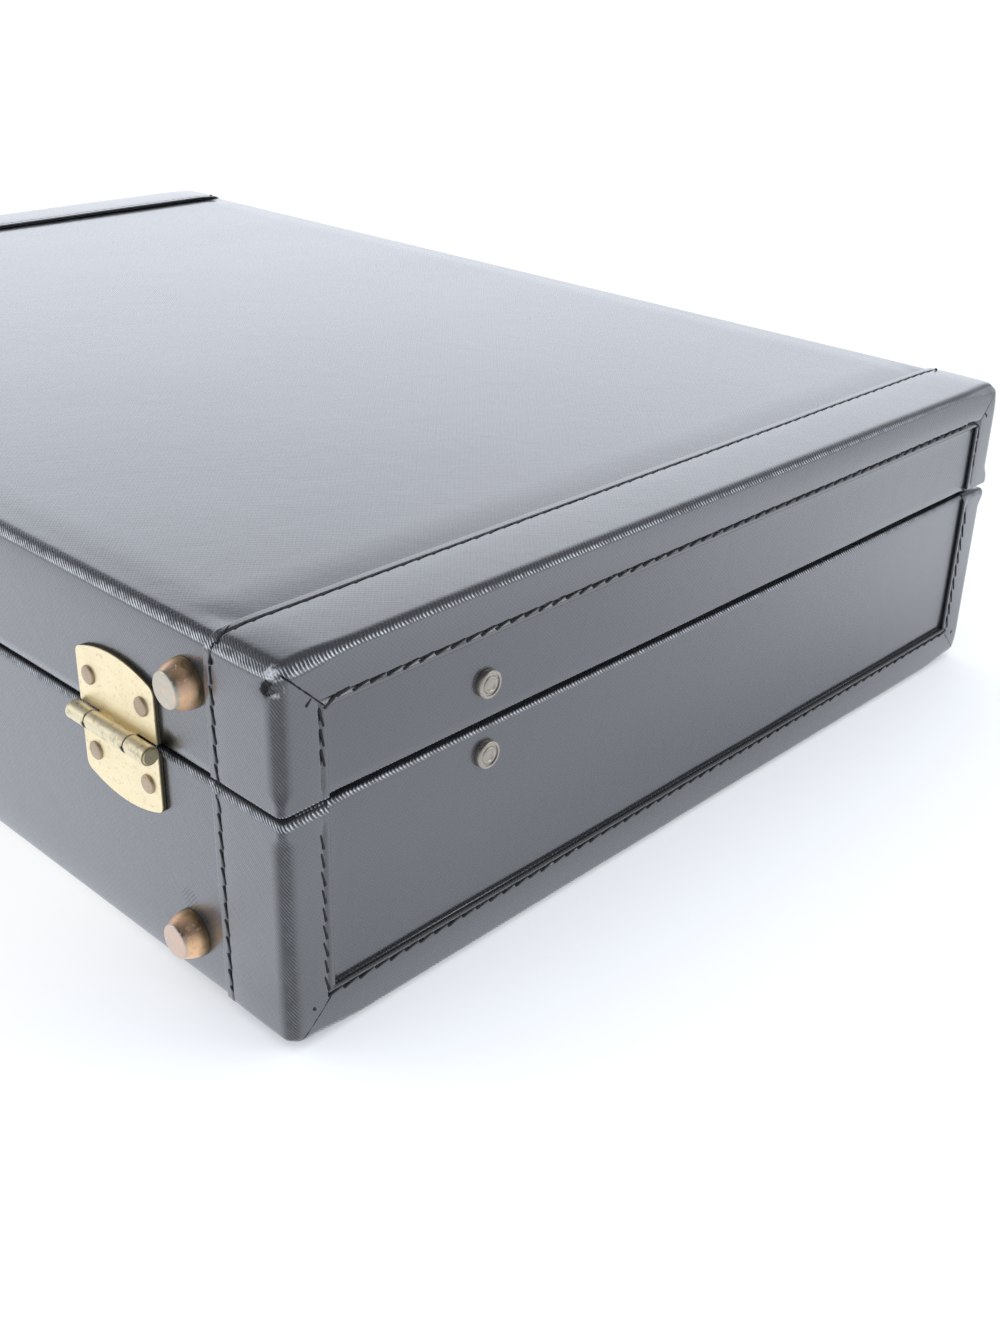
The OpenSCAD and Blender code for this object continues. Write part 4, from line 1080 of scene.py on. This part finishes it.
class CASE_OT_stitching(bpy.types.Operator):
    """Make the stitching along every band and border, and the cross stitches at the mitres"""

    bl_idname = "case.stitching"
    bl_label = "Stitching"

    def execute(self, context):
        stitches = settings().stitches
        seam_tree, single_tree = stitch_tree(False), stitch_tree(True)
        values = {"Pitch": stitches.pitch, "Length": stitches.length, "Width": stitches.width,
                  "Thickness": stitches.thickness, "Slant": stitches.slant, "Seed": stitches.seed,
                  "Stitch": hidden_object("stitch", stitch_shape()), "Material": finish("black_thread")}
        for half in halves():
            paths, singles = seam_paths(half)
            for name, side in SIDES.items():
                seams = seam_tree.grown("seam", path_mesh(half, side, paths), values)
                crossed = single_tree.grown("single", single_mesh(half, side, singles), {
                    **values, "Slant": 0.0, "Width": stitches.width * 1.15})
                for kind, mesh in (("stitches", seams), ("cross_stitches", crossed)):
                    if not mesh.polygons:
                        raise RuntimeError(f"the {kind} have no faces")
                    new_piece(f"{half.body}_{kind}_{name}", mesh, None, half.body)
        return {"FINISHED"}


def turned_mesh(name, profile, sides):
    """Solid turned about Z from points (radius, height), closed at its ends."""
    mesh = bpy.data.meshes.new(name)
    turns = [i * 2 * math.pi / sides for i in range(sides)]
    with shell_of(mesh) as shell:
        rings = [[shell.verts.new((radius * math.cos(t), radius * math.sin(t), height)) for t in turns]
                 for radius, height in profile]
        for low, high in zip(rings[:-1], rings[1:]):
            for i in range(sides):
                shell.faces.new((low[i], low[(i + 1) % sides], high[(i + 1) % sides], high[i]))
        shell.faces.new(rings[0][::-1])
        middle = shell.verts.new((0, 0, profile[-1][1]))
        for i in range(sides):
            shell.faces.new((rings[-1][i], rings[-1][(i + 1) % sides], middle))
        bmesh.ops.recalc_face_normals(shell, faces=shell.faces)
    return mesh


def arc(centre, radius, start, stop, steps):
    """Points of an arc, its angles in degrees."""
    angles = np.radians(np.linspace(start, stop, steps))
    return [(centre[0] + radius * math.cos(a), centre[1] + radius * math.sin(a)) for a in angles]


def foot_profile(base, tip, height):
    """Stud foot: a round flank that draws in towards a worn, flat tip with a soft edge."""
    soft, rim = 0.6 * MM, 0.3 * MM
    profile = [(base - 0.5 * MM, -0.6 * MM), (base - 0.08 * MM, 0.0), (base, rim)]
    profile += [(base - (base - tip) * t ** 1.6, rim + (height - rim - soft) * t)
                for t in (0.2, 0.4, 0.6, 0.8, 0.95)]
    profile += arc((tip - soft, height - soft), soft, 25, 88, 6)
    profile += [(tip * 0.55, height), (tip * 0.2, height)]
    return profile


def dome_profile(radius, height):
    """Flat domed rivet head with a soft edge."""
    edge = height * 0.55
    profile = [(radius, -0.3 * MM), (radius, 0.02 * MM)]
    profile += arc((radius - edge, height - edge * 1.25), edge, 15, 75, 5)
    profile += [(radius * 0.5, height * 0.96), (radius * 0.2, height)]
    return profile


def ring_profile(radius, height):
    """Rivet head with a raised rim, a groove inside it and a low middle."""
    rim = 0.22 * radius
    profile = [(radius, -1.1 * MM), (radius, height - 0.3 * MM)]
    profile += arc((radius - rim / 2, height - rim / 2), rim / 2, 20, 160, 6)
    profile += [(radius - rim * 1.25, height - 0.42 * MM), (radius * 0.66, height - 0.5 * MM)]
    profile += arc((radius * 0.5, height - 0.5 * MM), 0.16 * radius, 45, 110, 4)
    profile += [(radius * 0.36, height - 0.32 * MM), (radius * 0.15, height - 0.34 * MM)]
    return profile


def fixing_tree():
    """Copies of a turned fixing on the points of a mesh, each standing the way its point faces."""
    g = Growth("fixings")
    seed, shape = g.setting("Seed", "Int"), g.setting("Fixing", "Object")
    metal = g.setting("Material", "Material")
    stand = g.node("FunctionNodeAlignRotationToVector", {"axis": "Z"}, {"Vector": g.stored("facing")})
    spots = g.node("GeometryNodeMeshToPoints", {}, {"Mesh": g.geometry})
    return g.copies(spots, shape, stand, g.chance(0.0, 2 * math.pi, seed), metal)


def fixings(tree, name, profile, sides, places, facing, seed, material):
    """One mesh of a turned fixing's copies at places, which all face one way."""
    mesh = new_mesh("spots", places)
    store(mesh, "facing", [facing] * len(places))
    return tree.grown(f"{name}_spots", mesh, {
        "Seed": seed, "Material": finish(material),
        "Fixing": hidden_object(name, turned_mesh(name, profile, sides))})


def islands(node):
    """Middle and half size of each separate solid of a node."""
    shell = bmesh.new()
    shell.from_mesh(frame["nodes"][node].data)
    bmesh.ops.remove_doubles(shell, verts=shell.verts, dist=0.002 * MM)
    left, boxes = set(shell.verts), []
    while left:
        group, edge = set(), [left.pop()]
        while edge:
            vertex = edge.pop()
            group.add(vertex)
            for link in vertex.link_edges:
                other = link.other_vert(vertex)
                if other in left:
                    left.remove(other)
                    edge.append(other)
        low = Vector([min(v.co[i] for v in group) for i in range(3)])
        high = Vector([max(v.co[i] for v in group) for i in range(3)])
        boxes.append(((low + high) / 2, (high - low) / 2))
    shell.free()
    return sorted(boxes, key=lambda box: tuple(box[0]))


class CASE_OT_feet(bpy.types.Operator):
    """Make the stud feet on the hinge side"""

    bl_idname = "case.feet"
    bl_label = "Stud feet"

    def execute(self, context):
        tree = fixing_tree()
        for half in ("base", "lid"):
            node = f"{half}_feet"
            boxes = islands(node)
            base = boxes[0][1].x
            profile = foot_profile(base, base * 0.735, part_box(node)[1].y - COVER_Y)
            places = [(middle.x, COVER_Y, middle.z) for middle, _ in boxes]
            mesh = fixings(tree, "foot", profile, 40, places, (0, 1, 0), 5, f"worn_foot_{half}")
            new_piece(f"{node}_turned", mesh, None, half, [node])
        return {"FINISHED"}


class CASE_OT_rivets(bpy.types.Operator):
    """Make the heads of the hinge rivets and the stay rivets"""

    bl_idname = "case.rivets"
    bl_label = "Rivets"

    def execute(self, context):
        tree = fixing_tree()
        for half in ("base", "lid"):
            node = f"{half}_hinge_rivets"
            boxes = islands(node)
            profile = dome_profile(boxes[0][1].x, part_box(node)[1].y - LEAF_FACE)
            places = [(middle.x, LEAF_FACE, middle.z) for middle, _ in boxes]
            mesh = fixings(tree, "hinge_rivet", profile, 32, places, (0, 1, 0), 8, "worn_bronze")
            new_piece(f"{node}_heads", mesh, None, half, [node])
            low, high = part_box(f"{half}_stay_rivets")
            middle = Vector((low + high) / 2)
            profile = ring_profile(3.75 * MM, 0.98 * MM)
            for name, side in SIDES.items():
                places = [(side * COVER_X, middle.y, middle.z)]
                mesh = fixings(tree, "stay_rivet", profile, 40, places, (side, 0, 0), 4, "worn_nickel")
                new_piece(f"{half}_stay_rivet_head_{name}", mesh, None, half)
        return {"FINISHED"}


def bevelled(node, width, material):
    """Copy of a metal node with its sharp edges broken, which stands for the node."""
    mesh = frame["nodes"][node].data.copy()
    if "custom_normal" in mesh.attributes:
        mesh.attributes.remove(mesh.attributes["custom_normal"])
    with shell_of(mesh) as shell:
        bmesh.ops.remove_doubles(shell, verts=shell.verts, dist=0.002 * MM)
        bmesh.ops.dissolve_limit(shell, angle_limit=math.radians(0.6), verts=shell.verts,
                                 edges=shell.edges)
    piece = new_piece(f"{node}_metal", mesh, material, body_of(node), [node])
    edges = piece.modifiers.new("edges", "BEVEL")
    edges.width = width
    edges.segments = 2
    edges.limit_method = "ANGLE"
    edges.angle_limit = math.radians(38)
    edges.harden_normals = True


class CASE_OT_metalwork(bpy.types.Operator):
    """Break the edges of the hinges, locks, brackets and stays, and give them worn metal"""

    bl_idname = "case.metalwork"
    bl_label = "Metalwork"

    def execute(self, context):
        for half in ("base", "lid"):
            bevelled(f"{half}_hinge_leaves", 0.28 * MM, "hinge_brass")
        bevelled("hinge_pins", 0.2 * MM, "aged_brass")
        for name in SIDES:
            for node, width in (("handle_bracket", 0.3), ("lock_case", 0.3), ("hasp_plate", 0.3),
                                ("hasp", 0.35), ("lock_button", 0.35)):
                bevelled(f"{node}_{name}", width * MM, "pale_brass")
            for node in ("stay_lower", "stay_upper", "knee_rivet", "key_plug"):
                bevelled(f"{node}_{name}", 0.18 * MM, "worn_nickel")
        bevelled("handle_frame", 0.3 * MM, "pale_brass")
        return {"FINISHED"}


class CASE_OT_carried_over(bpy.types.Operator):
    """Give every solid that still shows its own finish"""

    bl_idname = "case.carried_over"
    bl_label = "Solids that show"

    def execute(self, context):
        worn = {
            "leather": "cover_leather", "band_leather": "edge_leather", "brass": "aged_brass",
            "copper": "worn_copper", "nickel": "worn_nickel", "board": "carcass_board",
            "lining": "brown_lining",
        }
        slots = {p["node"]: p["material_slot"] for p in frame["record"]["subparts"]}
        for node, piece in frame["nodes"].items():
            # The base's lip gets the darkened leather, its painted shade
            name = "lip_leather" if node == "base_lip" else worn[slots[node]]
            piece.material_slots[0].material = finish(name)
        return {"FINISHED"}


class CASE_OT_stage(bpy.types.Operator):
    """Make the floor, the lights and the camera"""

    bl_idname = "case.stage"
    bl_label = "Stage"

    def execute(self, context):
        stage = settings().stage
        scene = context.scene
        scene.view_settings.view_transform = "Standard"
        self.camera(scene, stage)
        self.floor(scene)
        self.room(scene, stage)
        self.lamp("hinge_side", (1.2, 1.24, 0.72), (-0.15, 0.12, 0.1), (0.8, 1.0), stage.side_power)
        self.lamp("end_side", (-1.62, -1.0, 0.84), (-0.22, 0.12, 0.1), (0.8, 1.0), stage.side_power)
        return {"FINISHED"}

    def camera(self, scene, stage):
        data = bpy.data.cameras.new("camera")
        data.lens = stage.camera_lens
        data.sensor_width = 36
        data.clip_start = 0.01
        camera = bpy.data.objects.new("camera", data)
        camera.location = stage.camera_place
        camera.rotation_euler = Euler(stage.camera_turn)
        scene.collection.objects.link(camera)
        scene.camera = camera

    def floor(self, scene):
        side = 30.0
        corners = [(-side, -side, 0.0), (side, -side, 0.0), (side, side, 0.0), (-side, side, 0.0)]
        mesh = new_mesh("floor", corners, faces=[(0, 1, 2, 3)])
        floor = bpy.data.objects.new("floor", mesh)
        scene.collection.objects.link(floor)
        f = Finish("white_floor", Base_Color=(0.93, 0.94, 0.95, 1), Roughness=0.9)
        seen, glossy, passed = [f.ray(kind) for kind in ("Camera", "Glossy", "Transmission")]
        # Painted shade on the floor as shiny surfaces mirror it: darker in front of the hinge-side corner,
        # beside the end, along the end's foot and far off
        near_camera = 1 - f.distance((-0.46, 0.33, 0.0), (1, 1, 0)).step(0.06, 0.40)
        near_end = 1 - f.distance((-0.30, -0.05, 0.0), (1, 1, 0)).step(0.02, 0.21)
        foot = 1 - f.distance((-0.235, 0.0, 0.0), (1, 0, 0)).step(0.004, 0.05)
        far = f.distance((-0.20, 0.05, 0.0), (1, 1, 0)).step(0.36, 0.75)
        painted_floor_shade = near_camera * 0.77 + near_end * 0.42 + foot * 0.3 + far * 0.7
        mirrored = glossy.most(passed)
        level = seen.most(mirrored * (1.35 - painted_floor_shade))
        glow = f.node("ShaderNodeEmission", {}, {
            "Color": f.blend(seen, TINT, (1, 1, 1)), "Strength": level}, output="Emission")
        # Beside the end the camera sees less glow and more of the floor's own shading, which paints its
        # shadow there deeper
        beside = 1 - f.distance((-0.235, 0.0, 0.0), (1, 0, 0)).step(0.02, 0.12)
        share = (seen * (0.85 - beside * 0.57)).most(mirrored * 0.75)
        f.end(f.node("ShaderNodeMixShader", {}, {0: share, 1: f.shaded(), 2: glow}))
        mesh.materials.append(f.material)

    def room(self, scene, stage):
        world = bpy.data.worlds.new("room")
        scene.world = world
        f = Finish(world.name, tree_of=world)
        way = f.node("ShaderNodeTexCoord", output="Generated")
        height, sideways = [f.node("ShaderNodeSeparateXYZ", {}, {0: way}, output=axis) for axis in "ZY"]
        ahead = f.vector("DOT_PRODUCT", {0: way, 1: (0.81, -0.59, 0)}, "Value")
        quick, slow = height.step(0.41, 0.62), height.step(0.42, 0.80)
        walls = (slow + (quick - slow) * sideways.step(-0.75, -0.2)) * 0.92 + 0.08
        walls = walls + (1 - height.step(0.12, 0.26)) * 0.06
        light = stage.horizon - walls * (stage.horizon - stage.ceiling)
        light = light * (0.4 + ahead.step(0.40, 0.80) * 0.6)
        seen, glossy = f.ray("Camera"), f.ray("Glossy")
        light = glossy * light + (1 - glossy) * stage.fill
        f.feed(Color=f.blend(seen, TINT, (1, 1, 1)), Strength=seen + (1 - seen) * light)

    def lamp(self, name, place, aim, size, power):
        data = bpy.data.lights.new(name, "AREA")
        data.shape = "RECTANGLE"
        data.size, data.size_y = size
        data.energy = power
        lamp = bpy.data.objects.new(name, data)
        lamp.location = place
        way = Vector(aim) - Vector(place)
        lamp.rotation_euler = way.to_track_quat("-Z", "Y").to_euler()
        bpy.context.scene.collection.objects.link(lamp)


class AttacheCase(bpy.types.PropertyGroup):
    """Everything that can be set on the case."""

    case: PointerProperty(type=CaseSizes)
    stitches: PointerProperty(type=StitchSizes)
    colours: PointerProperty(type=FinishColours)
    stage: PointerProperty(type=StageSettings)


OPERATORS = (
    CASE_OT_stage, CASE_OT_leather, CASE_OT_stitching, CASE_OT_metalwork, CASE_OT_feet,
    CASE_OT_rivets, CASE_OT_carried_over,
)


class CASE_PT_panel(bpy.types.Panel):
    """Sidebar panel that lists the steps and the sizes"""

    bl_idname = "CASE_PT_panel"
    bl_label = "Attache case"
    bl_space_type = "VIEW_3D"
    bl_region_type = "UI"
    bl_category = "Case"

    def draw(self, context):
        case = context.scene.attache_case
        for operator in OPERATORS:
            self.layout.operator(operator.bl_idname)
        for group in (case.case, case.stitches, case.colours, case.stage):
            box = self.layout.box()
            for name in group.bl_rna.properties.keys():
                if name not in ("rna_type", "name"):
                    box.prop(group, name)


CLASSES = (
    CaseSizes, StitchSizes, FinishColours, StageSettings, AttacheCase, *OPERATORS, CASE_PT_panel,
)


def register():
    for item in CLASSES:
        bpy.utils.register_class(item)
    bpy.types.Scene.attache_case = PointerProperty(type=AttacheCase)


def unregister():
    del bpy.types.Scene.attache_case
    for item in reversed(CLASSES):
        bpy.utils.unregister_class(item)


def main():
    register()
    make_finishes()
    for operator in OPERATORS:
        group, name = operator.bl_idname.split(".")
        getattr(getattr(bpy.ops, group), name)()
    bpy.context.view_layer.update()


if __name__ == "__main__":
    main()
